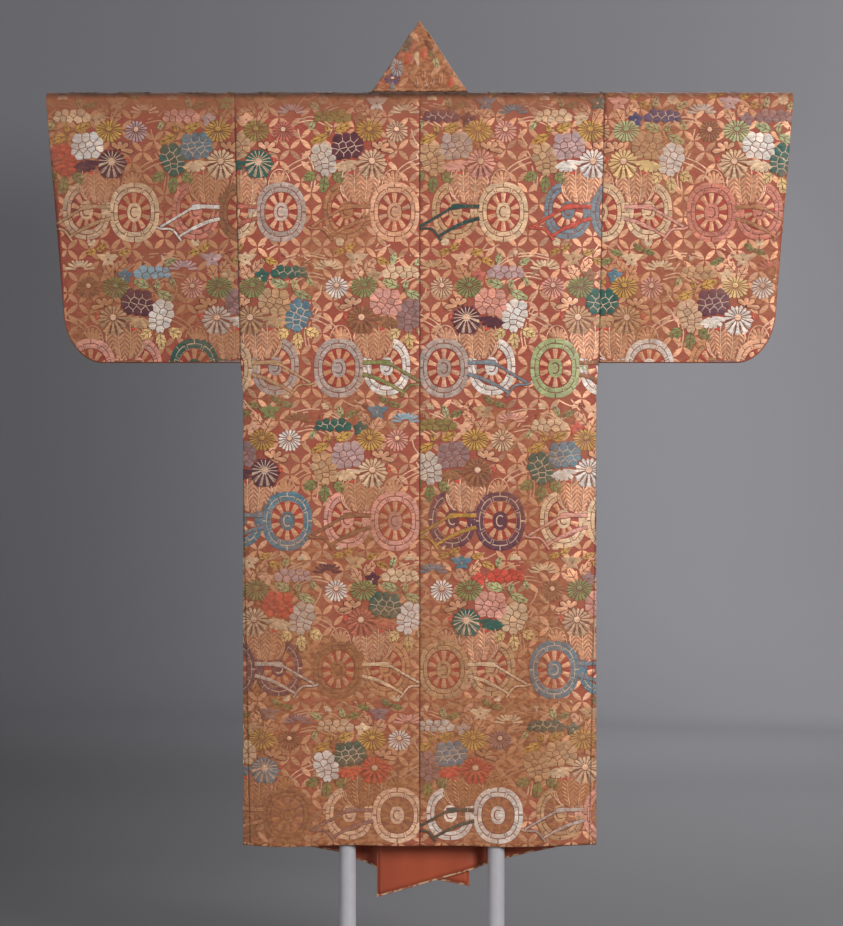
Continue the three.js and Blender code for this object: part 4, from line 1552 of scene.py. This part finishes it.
def role_colours(kind, row, words):
    """The colours of a cart's parts. In the worn lowest row, spokes, wells and baskets have faded."""
    colours = dict(zip(COLOUR_COLUMNS, words.split()))
    high, low, small = LEAF_COLOURS[kind]
    colours.update(
        leaf_high=high, leaf_low=low, leaf_small=small, leaf_green="light_green", leaf_plain="gold",
        ivy="gold", spoke="gold", well="well",
        hub_mark="outline" if colours["wheel"] in DARK_THREADS else "line",
        basket="peach", basket_line="pale_gold", basket_base="bark",
        grass="pale_gold", eye="pale_gold", mid_eye=colours["mid"], bud="grey_white",
        bud_flower="cream", bud_red="coral", below=colours["low"], shaft_line="line", ivy_line="dark",
    )
    if row == WORN_ROW:
        colours.update(spoke="faded", well="bark", basket="faded")
    for role, colour in list(colours.items()):
        if role + "_line" not in colours:
            colours[role + "_line"] = "outline" if colour in DARK_THREADS else "line"
    return colours


METAL_ROLES = {"spoke", "basket", "basket_line", "grass", "lens", "leaf_plain", "ivy"}
MINOR_ROLES = {"grass", "leaf_small", "leaf_green", "leaf_small_line", "leaf_green_line", "bud_flower"}

# The ground pattern: interlocking rings, drawn as lenses between the points of a lattice

LATTICE = 20.6
LENS_HALF = (13.4, 5.0)


def lens(centre, degrees):
    length, width = LENS_HALF
    ring = [(-length, 0), (-0.55 * length, -0.72 * width), (0, -width), (0.55 * length, -0.72 * width),
            (length, 0), (0.55 * length, 0.72 * width), (0, width), (-0.55 * length, 0.72 * width)]
    return turned(ring, degrees, centre)


def lenses(low, high, offset):
    patches = []
    first = np.floor(low / LATTICE).astype(int) - 1
    last = np.ceil(high / LATTICE).astype(int) + 1
    for i in range(first[0], last[0]):
        for j in range(first[1], last[1]):
            centre = ((i + 0.5) * LATTICE + offset[0], (j + 0.5) * LATTICE + offset[1])
            patches.append(patch(lens(centre, 45 if (i + j) % 2 == 0 else -45), "lens", True))
    return patches


# Patches on the cloth

COLOUR_SPREAD = 0.09
WARMTH_SPREAD = 0.03
UNDER_LIFTS = (0.08, 0.27)
TOP_LIFTS = (0.55, 1.15)
BASE_LIFTS = (0.3, 0.34)
LONGEST_EDGE = 13
LONGEST_BENT_EDGE = 6
EXTRA_COVER = (11, 11)
MOST_SPLITS = 4
NORMAL_STEP = 0.6
BAR_REACH = 6


def cart_patches(area):
    """The patches of an area's carts, and each cart's covers."""
    low, high = (np.array(corner, float) for corner in area.box)
    placed = []
    for kind, x, row, words in area.carts:
        mirror = -1 if kind == "A" else 1
        place = np.array((x, area.rows[row]))
        size = (mirror, ROW_STRETCH.get(row, 1))
        covers = [(np.array(c) * size + place, half, mirror * degrees) for c, half, degrees in COVERS]
        rings = [p.points * size + place for p in UNIT]
        placed.append((rings, covers, role_colours(kind, row, words)))
    patches = []
    for number, (rings, covers, colours) in enumerate(placed):
        others = [cover for k, cart in enumerate(placed) if k != number for cover in cart[1]]
        middles = np.array([ring.mean(axis=0) for ring in rings])
        hidden = inside_any(middles, others)
        for ring, unit_patch, out in zip(rings, UNIT, hidden):
            off = (ring.max(axis=0) < low).any() or (ring.min(axis=0) > high).any()
            if not off and not (out and unit_patch.role in MINOR_ROLES):
                patches.append(patch(ring, unit_patch.role, unit_patch.under))
                patches[-1].lift = unit_patch.lift
                patches[-1].colour = colours[unit_patch.role]
    return patches, [cover for cart in placed for cover in cart[1]]


def lay_out(area):
    """All patches of an area in flat places, cut to the cloth's outline."""
    low, high = (np.array(corner, float) for corner in area.box)
    patches, covers = cart_patches(area)
    grounds = lenses(low, high, area.lattice)
    centres = np.array([p.points.mean(axis=0) for p in grounds])
    along = np.array([(p.points[4] - p.points[0]) * 0.3 for p in grounds])
    covers += [(p.points.mean(axis=0), EXTRA_COVER, 0) for p in area.extra if not p.under]
    hidden = sum(inside_any(centres + shift * along, covers).astype(int) for shift in (-1, 0, 1))
    patches = [p for p, count in zip(grounds, hidden) if count < 3] + patches + area.extra
    counts = np.array([len(p.points) for p in patches])
    ends = np.cumsum(counts)
    flat = np.concatenate([p.points for p in patches])
    values = area.room(flat[:, 0], flat[:, 1])
    result = []
    for p, start, end in zip(patches, ends - counts, ends):
        room = values[start:end]
        if room.max() > 0:
            ring = clip(p.points, room) if room.min() < 0 else p.points
            if len(ring) > 2:
                p.points = ring
                result.append(p)
    return result


def lifts_of(p):
    if p.role in ("lens", "grass"):
        return UNDER_LIFTS
    return BASE_LIFTS if p.under else TOP_LIFTS


def triangles_of(patches):
    """Each ring as a low cushion: a fan from its rim to its raised middle."""
    points, lifts, faces, colours, metal = [], [], [], [], []
    count = 0
    for p in patches:
        n = len(p.points)
        rim, crown = lifts_of(p)
        points.append(p.points)
        points.append(p.points.mean(axis=0)[None])
        lifts.append(np.full(n, rim + p.lift))
        lifts.append([crown + p.lift])
        index = np.arange(n)
        faces.append(np.stack([count + index, count + (index + 1) % n, np.full(n, count + n)], 1))
        spread = COLOUR_SPREAD * (2 if p.role == "lens" else 1)
        shade = 1 + spread * chance.standard_normal()
        warm = 1 + WARMTH_SPREAD * chance.standard_normal()
        red, green, blue = THREAD[p.colour]
        paint = (red * shade * warm, green * shade, blue * shade / warm, 1)
        colours.append(np.tile(paint, (n, 1)))
        metal.append(np.full(n, p.role in METAL_ROLES))
        count += n + 1
    return [np.concatenate(values) for values in (points, lifts, faces, colours, metal)]


def with_middles(values, a, b, c):
    """Values at points, and then at the middles of the edges between them."""
    edges = ((a, b), (b, c), (c, a))
    return np.concatenate([values] + [(values[p] + values[q]) / 2 for p, q in edges])


def split_long(points, lifts, faces, colours, metal, bent):
    """Triangles with an edge too long for the cloth's bends are split in four."""
    for _ in range(MOST_SPLITS):
        corners = points[faces]
        edges = np.linalg.norm(corners - np.roll(corners, -1, axis=1), axis=2).max(axis=1)
        middles = corners.mean(axis=1)
        limit = np.where(bent(middles[:, 0], middles[:, 1]), LONGEST_BENT_EDGE, LONGEST_EDGE)
        long = edges > limit
        if not long.any():
            break
        chosen = faces[long]
        a, b, c = chosen.T
        count = len(points)
        n = len(chosen)
        points = with_middles(points, a, b, c)
        lifts = with_middles(lifts, a, b, c)
        ab, bc, ca = (count + k * n + np.arange(n) for k in range(3))
        parts = ((a, ab, ca), (ab, b, bc), (ca, bc, c), (ab, bc, ca))
        faces = np.concatenate([faces[~long]] + [np.stack(part, 1) for part in parts])
        colours = np.concatenate([colours[~long], np.tile(colours[long], (4, 1))])
        metal = np.concatenate([metal[~long], np.tile(metal[long], 4)])
    return points, lifts, faces, colours, metal


def outward(area, x, height):
    step = NORMAL_STEP
    across = area.surface(x + step, height) - area.surface(x - step, height)
    up = area.surface(x, height + step) - area.surface(x, height - step)
    normals = np.cross(across, up) * -area.facing
    return normals / np.maximum(np.linalg.norm(normals, axis=1, keepdims=True), 1e-9)


BAKE_TILE = 360
BAKE_MARGIN = 30


def bake_places(area, flat, faces):
    """The flat places of each triangle, with tall areas cut into tiles laid side by side."""
    low, high = (np.array(corner, float) for corner in area.box)
    span = high - low
    tiles = max(int(math.ceil(span[1] / BAKE_TILE)), 1)
    across = int(math.ceil(math.sqrt(tiles * (BAKE_TILE + 2 * BAKE_MARGIN) / (span[0] + 2 * BAKE_MARGIN))))
    down = int(math.ceil(tiles / across))
    tile_height = span[1] / tiles
    corners = flat[faces]
    tile = np.clip(((corners[:, :, 1].mean(axis=1) - low[1]) / tile_height).astype(int), 0, tiles - 1)
    size = max(across * (span[0] + BAKE_MARGIN), down * (tile_height + 2 * BAKE_MARGIN))
    u = corners[:, :, 0] - low[0] + ((tile % across) * (span[0] + BAKE_MARGIN))[:, None]
    v = corners[:, :, 1] - low[1] - (tile * tile_height)[:, None] + BAKE_MARGIN
    v = v + ((tile // across) * (tile_height + 2 * BAKE_MARGIN))[:, None]
    return np.clip(np.stack([u, v], 2) / size * 0.98 + 0.01, 0, 1)


def float_mesh(area, name, patches):
    points, lifts, faces, colours, metal = triangles_of(patches)
    points, lifts, faces, colours, metal = split_long(points, lifts, faces, colours, metal, area.bent)
    base = area.surface(points[:, 0], points[:, 1])
    normals = outward(area, points[:, 0], points[:, 1])
    placed = base + normals * (CLOTH / 2 + lifts)[:, None]
    corners = placed[faces]
    facing = np.cross(corners[:, 1] - corners[:, 0], corners[:, 2] - corners[:, 0])
    wrong = (facing * normals[faces[:, 2]]).sum(axis=1) < 0
    faces[wrong] = faces[wrong][:, [1, 0, 2]]
    uvs = bake_places(area, points, faces)
    mesh = build_mesh(name, placed, faces, uvs, metal, [materials["silk"], materials["gold"]], colours)
    piece = link_object(name, mesh)
    return piece


def weave(area):
    """The raised threads of an area: the ground pattern in one piece and the motifs in another."""
    patches = lay_out(area)
    under = [p for p in patches if p.under]
    top = [p for p in patches if not p.under]
    pieces = [float_mesh(area, f"ground_pattern_{area.name}", under)]
    if top:
        pieces.append(float_mesh(area, f"motifs_{area.name}", top))
    return pieces


def near_bar(x, height):
    return height > BAR_HEIGHT - BAR_REACH


PLEAT_REACH = 34
PLEAT_TOP = 1000


def bends_of_front(side):
    def bent(x, height):
        off_centre = np.abs(side.sign * x - pleat_centre(side, side.main_pleat, height))
        return near_bar(x, height) | ((off_centre < PLEAT_REACH) & (height < PLEAT_TOP))
    return bent


def mirrored_box(side, near, far, low, high):
    xs = sorted((side.sign * near, side.sign * far))
    return (xs[0], low), (xs[1], high)


def make_area(name, surface, room, facing, box, carts, rows, lattice, bent=near_bar, extra=()):
    return SimpleNamespace(name=name, surface=surface, room=room, facing=facing, box=box, carts=carts,
                           rows=rows, lattice=lattice, bent=bent, extra=list(extra))


# Pieces

HEM_TURN = 5
BODY_STEP = 9
NECK_STEP = 12
PANEL_STEP = 5
PANEL_WIDTH = 250
HIDDEN_TUCK = 20


def flat_row(place, level):
    return np.stack([place, np.full_like(place, level)], 1)


def cells_without(grid, first_row, columns):
    """Which cells of a grid are cloth: all but those in its first columns, from a row on."""
    keep = np.ones((grid.shape[0] - 1, grid.shape[1] - 1), bool)
    keep[first_row:, :columns] = False
    return keep


def body_shell(side):
    """The back up to the ridge over the bar, and the front down from it, as one sheet."""
    low = [BACK_HEM, BACK_HEM + HEM_TURN]
    middle = np.arange(low[1] + BODY_STEP, BAR_HEIGHT - 3, BODY_STEP)
    back_levels = np.concatenate([low, middle, [BAR_HEIGHT]])
    arc = np.linspace(BAR_HEIGHT, RIDGE, 11)[1:]
    neck = fine_near_ends(SEAM_GAP / 2, NECK_HALF_WIDTH, NECK_STEP)
    panel = fine_near_ends(0, PANEL_WIDTH, PANEL_STEP) / PANEL_WIDTH
    rows, flats = [], []
    heights = np.concatenate([back_levels, arc])
    for height in heights:
        place = np.concatenate([neck[:-1], lerp(NECK_HALF_WIDTH, half_width(height), panel)])
        rows.append(body_back(side)(side.sign * place, np.full_like(place, height)))
        flats.append(flat_row(place, height))
    for level in heights[::-1][1:]:
        inner = inner_edge(side, level)
        hidden = inner - HIDDEN_TUCK + HIDDEN_TUCK * neck[:-1] / NECK_HALF_WIDTH
        place = np.concatenate([hidden, lerp(inner, half_width(level), panel)])
        rows.append(body_front(side)(side.sign * place, np.full_like(place, level)))
        flats.append(flat_row(place, 2 * RIDGE - level))
    grid = np.array(rows)
    keep = cells_without(grid, len(heights) - 1, len(neck) - 1)
    out = ((20, 4), np.array((0, -1, 0)))
    return cloth_shell(f"robe_body_{side.name}", grid, np.array(flats), out, materials["lining"],
                       keep=keep, hems=(0, len(grid) - 2))


def overlap_shell(side):
    """The panel as wide as its hem up to the collar's end, and above that only as far as the collar."""
    top = overlap_point(side)
    low_levels = np.concatenate([[BACK_HEM], np.linspace(BACK_HEM + HEM_TURN, COLLAR_END, 66)])
    levels = np.concatenate([low_levels, np.linspace(COLLAR_END, top, 46)[1:]])
    band = side.band_seam + NECK_SEAM
    wide = fine_near_ends(side.free_edge, band, 6)
    narrow = np.linspace(0, 1, 5)[1:]
    rows, flats = [], []
    for level in levels:
        seam = inner_edge(side, level) - SEAM_GAP
        place = np.concatenate([wide, lerp(band, seam, narrow)])
        depth = front_depth(side, place, np.full_like(place, level))
        rows.append(stack(side.sign * place, depth, front_height(side, place, level)))
        flats.append(flat_row(place, level))
    grid = np.array(rows)
    keep = cells_without(grid, len(low_levels) - 1, len(wide) - 1)
    out = ((10, 4), np.array((0, 1, 0)))
    return cloth_shell(f"robe_overlap_{side.name}", grid, np.array(flats), out, materials["lining"],
                       keep=keep, hems=(0,))


LINING_REACH = 46
LINING_SLACK = 0.5
SLACK_TOP = 330
HEM_RIM_FADE = 30


def lining_places(side, level):
    seam = inner_edge(side, level)
    start = side.free_edge + HEM_RIM
    end = half_width(level) - SIDE_TAPER + LINING_REACH
    return np.concatenate([np.linspace(start, seam - SEAM_GAP, 26), np.linspace(seam, end, 50)])


def lining_shell(side):
    inset = CLOTH / 2 + SEAM_GAP + LINING_CLOTH / 2 + 0.1
    levels = np.linspace(BACK_HEM, LINING_TOP, 62)
    rows, flats = [], []
    for level in levels:
        place = lining_places(side, level)
        depth = front_depth(side, place, np.full_like(place, level)) - inset
        slack = LINING_SLACK * np.sin(place / 19 + level / 130) * smooth(level, BACK_HEM, SLACK_TOP)
        rim = HEM_RIM * (1 - ramp(level, BACK_HEM, BACK_HEM + HEM_RIM_FADE))
        z = front_height(side, place, level) + rim
        rows.append(stack(side.sign * place, depth - LINING_SLACK - slack, z))
        flats.append(flat_row(place, level))
    grid = np.array(rows)
    out = ((10, 4), np.array((0, -1, 0)))
    piece = cloth_shell(f"robe_lining_{side.name}", grid, np.array(flats), out, materials["lining"],
                        LINING_CLOTH)
    piece.data.materials[0] = materials["lining"]
    return piece


NEAR_FOOT = (5, 3, 2, 1.4, 0.9, 0.5, 0.2)


def sleeve_shell(side):
    """A tube in rows of points from armhole to wrist: over the bar, down the front and up the back."""
    length = BAR_HEIGHT - OUTLINE_Z
    full = BAR_HEIGHT + FOLD_RADIUS * math.pi
    down = np.concatenate([np.linspace(0, 0.985, 52), 1 - np.array(NEAR_FOOT) / 400])
    columns, flats = [], []

    def add(place, depth, z, along):
        columns.append(stack(side.sign * place, depth, z))
        flats.append(np.stack([place, along], 1))

    def hanging(share):
        return lerp(OUTLINE_TOP, OUTLINE_PLACE, share), lerp(BAR_HEIGHT, OUTLINE_Z, share)

    for angle in np.linspace(0, math.pi, 23)[1:-1]:
        add(OUTLINE_TOP, -FOLD_RADIUS * math.cos(angle), BAR_HEIGHT + FOLD_RADIUS * math.sin(angle),
            BAR_HEIGHT + FOLD_RADIUS * angle + 0 * OUTLINE_TOP)
    for share in down:
        place, z = hanging(share)
        add(place, sleeve_depth(side.sign * place, z, share, length, 1), z, full + BAR_HEIGHT - z)
    place, z = hanging(1)
    add(place, 0 * place, z, full + BAR_HEIGHT - z + 1)
    for share in down[::-1]:
        place, z = hanging(share)
        add(place, -sleeve_depth(side.sign * place, z, share, length, -1), z, z)
    grid = np.array(columns).transpose(1, 0, 2)
    flat = np.array(flats).transpose(1, 0, 2)
    out = ((10, 10), np.array((0, 0, 1)))
    return cloth_shell(f"robe_sleeve_{side.name}", grid, flat, out, materials["lining"], ring=True)


def collar_shell():
    grid = collar_grid()
    middle = grid[:, grid.shape[1] // 2]
    along = np.concatenate([[0], np.cumsum(np.linalg.norm(np.diff(middle, axis=0), axis=1))])
    across = np.linspace(0, BAND_WIDTH, grid.shape[1])
    flat = np.stack(np.meshgrid(along, across, indexing="ij"), -1)
    out = ((len(grid) // 2, 8), np.array((0, -1, 0)))
    return cloth_shell("robe_collar", grid, flat, out, materials["brocade_ground"])


FRONT_START = 30
RIGHT_SEED = 11


def side_areas(side):
    """The areas of one side of the robe that carry the pattern."""
    name = side.name
    back_box = mirrored_box(side, 0, SHOULDER_HALF_WIDTH, BACK_HEM, RIDGE)
    front_box = mirrored_box(side, FRONT_START, SHOULDER_HALF_WIDTH, BACK_HEM, RIDGE)
    overlap_box = mirrored_box(side, side.free_edge, side.overlap_seam + 4, BACK_HEM, overlap_point(side))
    sleeve_box = mirrored_box(side, ARMHOLE_HALF_WIDTH, SLEEVE_REACH, SLEEVE_BOTTOM, RIDGE)
    band_box = mirrored_box(side, side.free_edge, NECK_HALF_WIDTH, COLLAR_END, COLLAR_TOP)
    seed = 0 if side is left else RIGHT_SEED
    bent = bends_of_front(side)
    band_rows = {row: height + COLLAR_ROWS_UP for row, height in FRONT_ROWS.items()}

    def carts(box, rows, more):
        return front_carts(box[0][0], box[1][0], rows, seed + more)

    return {
        "body": (
            make_area(f"back_{name}", body_back(side), back_room(side), -1, back_box,
                      BACK_CARTS[f"body_{name}"] + tuple(carts(back_box, (0,), 0)), BACK_ROWS, (0, 7)),
            make_area(f"front_{name}", body_front(side), front_room(side), 1, front_box,
                      carts(front_box, FRONT_ROWS, 1), FRONT_ROWS, (5, 0), bent),
        ),
        "overlap": (
            make_area(f"overlap_{name}", body_front(side), overlap_room(side), 1, overlap_box,
                      carts(overlap_box, (2, 3, 4, 5), 2), FRONT_ROWS, (-3, 4), bent),
        ),
        "sleeve": (
            make_area(f"sleeve_back_{name}", sleeve_sheet(side, -1), sleeve_room(side), -1, sleeve_box,
                      BACK_CARTS[f"sleeve_{name}"], BACK_ROWS, (8, 3)),
            make_area(f"sleeve_front_{name}", sleeve_sheet(side, 1), sleeve_room(side), 1, sleeve_box,
                      carts(sleeve_box, (0, 1, 2), 4), BACK_ROWS, (2, 6)),
        ),
        "band": (
            make_area(f"band_{name}", band_front(side), band_room(side), 1, band_box,
                      carts(band_box, (0, 1, 2, 3), 6), band_rows, (6, 2)),
        ),
    }


NECK_LEAVES = (
    (17, 1771, 22, 10, -50, "dark"), (18, 1770, 15, 5, -50, "light_green"),
    (19, 1787, 14, 6, -56, "dark"), (23, 1755, 20, 11, -50, "green"),
    (30, 1741, 24, 12, -66, "light_green"), (50, 1722, 18, 9, -40, "brown"),
    (-86, 1692, 14, 8, 30, "deep_green"), (8, 1716, 22, 9, 96, "gold"), (40, 1706, 24, 9, 84, "gold"),
    (24, 1702, 22, 9, 78, "gold"), (-6, 1702, 24, 9, 100, "gold"), (12, 1698, 16, 7, 110, "pale_gold"),
)
NECK_PETALS = (
    (-20, 1779, 8, 4.5, 50, "deep_teal"), (-25, 1770, 9, 5.5, 40, "deep_teal"),
    (-28, 1762, 7, 4, 10, "teal"), (-35, 1753, 9, 5, 50, "rose"), (-13, 1768, 12, 5, 64, "rose"),
    (8, 1755, 10, 5.5, 86, "coral"), (-23, 1746, 13, 6, 80, "coral"), (-15, 1743, 8, 4, 70, "rose"),
    (-6, 1750, 9, 5, 80, "cream"), (-4, 1739, 7, 3.5, 100, "pale_gold"), (60, 1702, 10, 6, 86, "coral"),
    (-78, 1702, 9, 4, 160, "rose"), (-52, 1694, 8, 5, 90, "grey_blue"), (66, 1693, 8, 4, 20, "olive"),
)


def neck_motifs():
    """Loose leaves, petals and two flowers high on the collar's back, with a painted highlight at its foot.
    """
    patches = mum((-52, 1709), (17, 11), "navy", "pale_gold", 9)
    patches += mum((-44, 1729), (13, 17), "sky", "rose", 11)
    for x, z, length, width, degrees, colour in NECK_LEAVES:
        patches += leaf((x, z), degrees, length, width, colour, 2)
    for x, z, length, width, degrees, colour in NECK_PETALS:
        patches.append(patch(oval((x, z), (length, width), 9, degrees), colour))
    # A thin tan strip along the collar's foot: a painted highlight on the seam's edge
    patches += strip([(-86, 1688), (0, 1689.5), (86, 1688)], 1.1, "tan", 14)
    for number, p in enumerate(patches):
        p.colour = p.role if p.role in THREAD else "line"
        p.lift = p.above + RANK_LIFT * number / 4
        if p.colour == "gold":
            p.role = "leaf_plain"
    return patches


neck_area = make_area(
    "collar_back", collar_back, collar_back_room, -1,
    ((-NECK_HALF_WIDTH, NECK_BASE), (NECK_HALF_WIDTH, COLLAR_POINT)), (), {}, (0, 4), extra=neck_motifs(),
)


def make_robe():
    collar_pieces = weave(neck_area)
    for side in (left, right):
        areas = side_areas(side)
        name = side.name

        body = body_shell(side)
        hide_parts(f"body_{name}")
        pieces = [piece for area in areas["body"] for piece in weave(area)]

        overlap = overlap_shell(side)
        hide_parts(f"overlap_{name}")
        pieces = [piece for area in areas["overlap"] for piece in weave(area)]

        sleeve = sleeve_shell(side)
        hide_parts(f"sleeve_{name}")
        pieces = [piece for area in areas["sleeve"] for piece in weave(area)]

        lining = lining_shell(side)
        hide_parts(f"lining_{name}")

        collar_pieces += [piece for area in areas["band"] for piece in weave(area)]
    collar = collar_shell()
    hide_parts("collar")


make_robe()

# Stand

STAND_PARTS = {
    "stand_post_left": "paint", "stand_post_right": "paint", "stand_base": "paint", "stand_bar": "padding",
}


def finish_stand():
    for name, material in STAND_PARTS.items():
        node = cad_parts[name]
        node.data.materials.clear()
        node.data.materials.append(materials[material])


finish_stand()

# Floor, backdrop and lights

FLOOR_MIDDLE = 2.0
FLOOR_REACH = 6.4
SWEEP = 4.6
WALL_TOP = 9.0
AROUND = 96

# The paper's painted light and shade change between two places, from one share to another

HIGH_WALL = (-3.0, 3.5, 0.84, 1.2)
LOW_WALL = (-2.2, 1.2, 0.59, 1.47)
LOW_RIGHT = (1.1, 2.8, 1.0, 0.7)
WALL_BLEND = (2.1, 2.9)
FLOOR_BACK = (3.4, 6.6, 0.41, 1.08)
DIM_FRONT = (0.9, 1.9)
DIM_BACK = (4.0, 7.5, 1.0, 0.0)
DIM_LEFT = (-0.55, 0.35, 0.28, 0.0)


def make_backdrop():
    """A pale floor that curves up all round into a wall."""
    bend = [(FLOOR_REACH + SWEEP * math.sin(a), SWEEP * (1 - math.cos(a)))
            for a in np.linspace(0, math.pi / 2, 14)]
    profile = [(0.0, 0.0), (FLOOR_MIDDLE, 0.0)] + bend + [(FLOOR_REACH + SWEEP, WALL_TOP)]
    points = [(r * math.cos(t), r * math.sin(t), z) for r, z in profile
              for t in np.arange(AROUND) * 2 * math.pi / AROUND]
    faces = []
    for low in range(0, AROUND * (len(profile) - 1), AROUND):
        for i in range(AROUND):
            j = (i + 1) % AROUND
            faces.append((low + i, low + j, low + AROUND + j, low + AROUND + i))
    mesh = bpy.data.meshes.new("backdrop")
    mesh.from_pydata(points, [], faces)
    mesh.shade_smooth()
    shader = Shader("backdrop_paper", Roughness=0.85)
    paper = shader.mix(shader.noise(0.35), *PAPER)
    # Painted light and shade: brighter to the right, darker to the left low down and on the near floor
    top = shader.scaled(shader.across(), *HIGH_WALL)
    low = shader.product(shader.scaled(shader.across(), *LOW_WALL),
                         shader.scaled(shader.across(), *LOW_RIGHT))
    upward = shader.scaled(shader.height(), *WALL_BLEND)
    side = shader.total(shader.product(top, upward),
                        shader.product(low, shader.math("SUBTRACT", 1.0, upward)))
    floor = shader.scaled(shader.depth(), *FLOOR_BACK)
    # Painted shadow on the floor to the left, behind the robe
    near = shader.product(shader.scaled(shader.depth(), *DIM_FRONT),
                          shader.scaled(shader.depth(), *DIM_BACK))
    dim = shader.product(near, shader.scaled(shader.across(), *DIM_LEFT))
    floor = shader.product(floor, shader.math("SUBTRACT", 1.0, dim))
    shader.colour(shader.shaded(paper, shader.product(side, floor)))
    mesh.materials.append(shader.material)
    backdrop = bpy.data.objects.new("backdrop", mesh)
    bpy.context.scene.collection.objects.link(backdrop)


# Lights: place, what they point at, size and power

LIGHTS = (
    ("key", (3.6, -4.6, 2.9), (0, 0, 1.0), (2.0, 2.4), 300),
    ("fill", (-3.6, -4.4, 1.8), (0, 0, 1.0), (2.4, 2.6), 82),
    ("rear", (1.2, 4.4, 3.0), (0, 0, 1.3), (2.6, 2.0), 100),
    ("backdrop", (7.4, 5.2, 2.2), (3.8, 10.6, 0.9), (3.0, 3.0), 520),
)
SKY = (0.9, 0.92, 1.0, 1)
SKY_STRENGTH = 0.42


def make_light(name, place, target, size, power):
    data = bpy.data.lights.new(name, "AREA")
    data.shape = "RECTANGLE"
    data.size, data.size_y = size
    data.energy = power
    light = bpy.data.objects.new(name, data)
    light.location = place
    from_light = np.array(target) - np.array(place)
    yaw = math.atan2(from_light[1], from_light[0]) - math.pi / 2
    pitch = math.atan2(from_light[2], math.hypot(from_light[0], from_light[1]))
    light.rotation_euler = (math.pi / 2 + pitch, 0, yaw)
    bpy.context.scene.collection.objects.link(light)


def make_sky():
    world = bpy.data.worlds.new("world")
    world.use_nodes = True
    background = world.node_tree.nodes["Background"]
    background.inputs["Color"].default_value = SKY
    background.inputs["Strength"].default_value = SKY_STRENGTH
    bpy.context.scene.world = world


make_backdrop()
for light in LIGHTS:
    make_light(*light)
make_sky()
bpy.context.scene.view_settings.view_transform = "Standard"
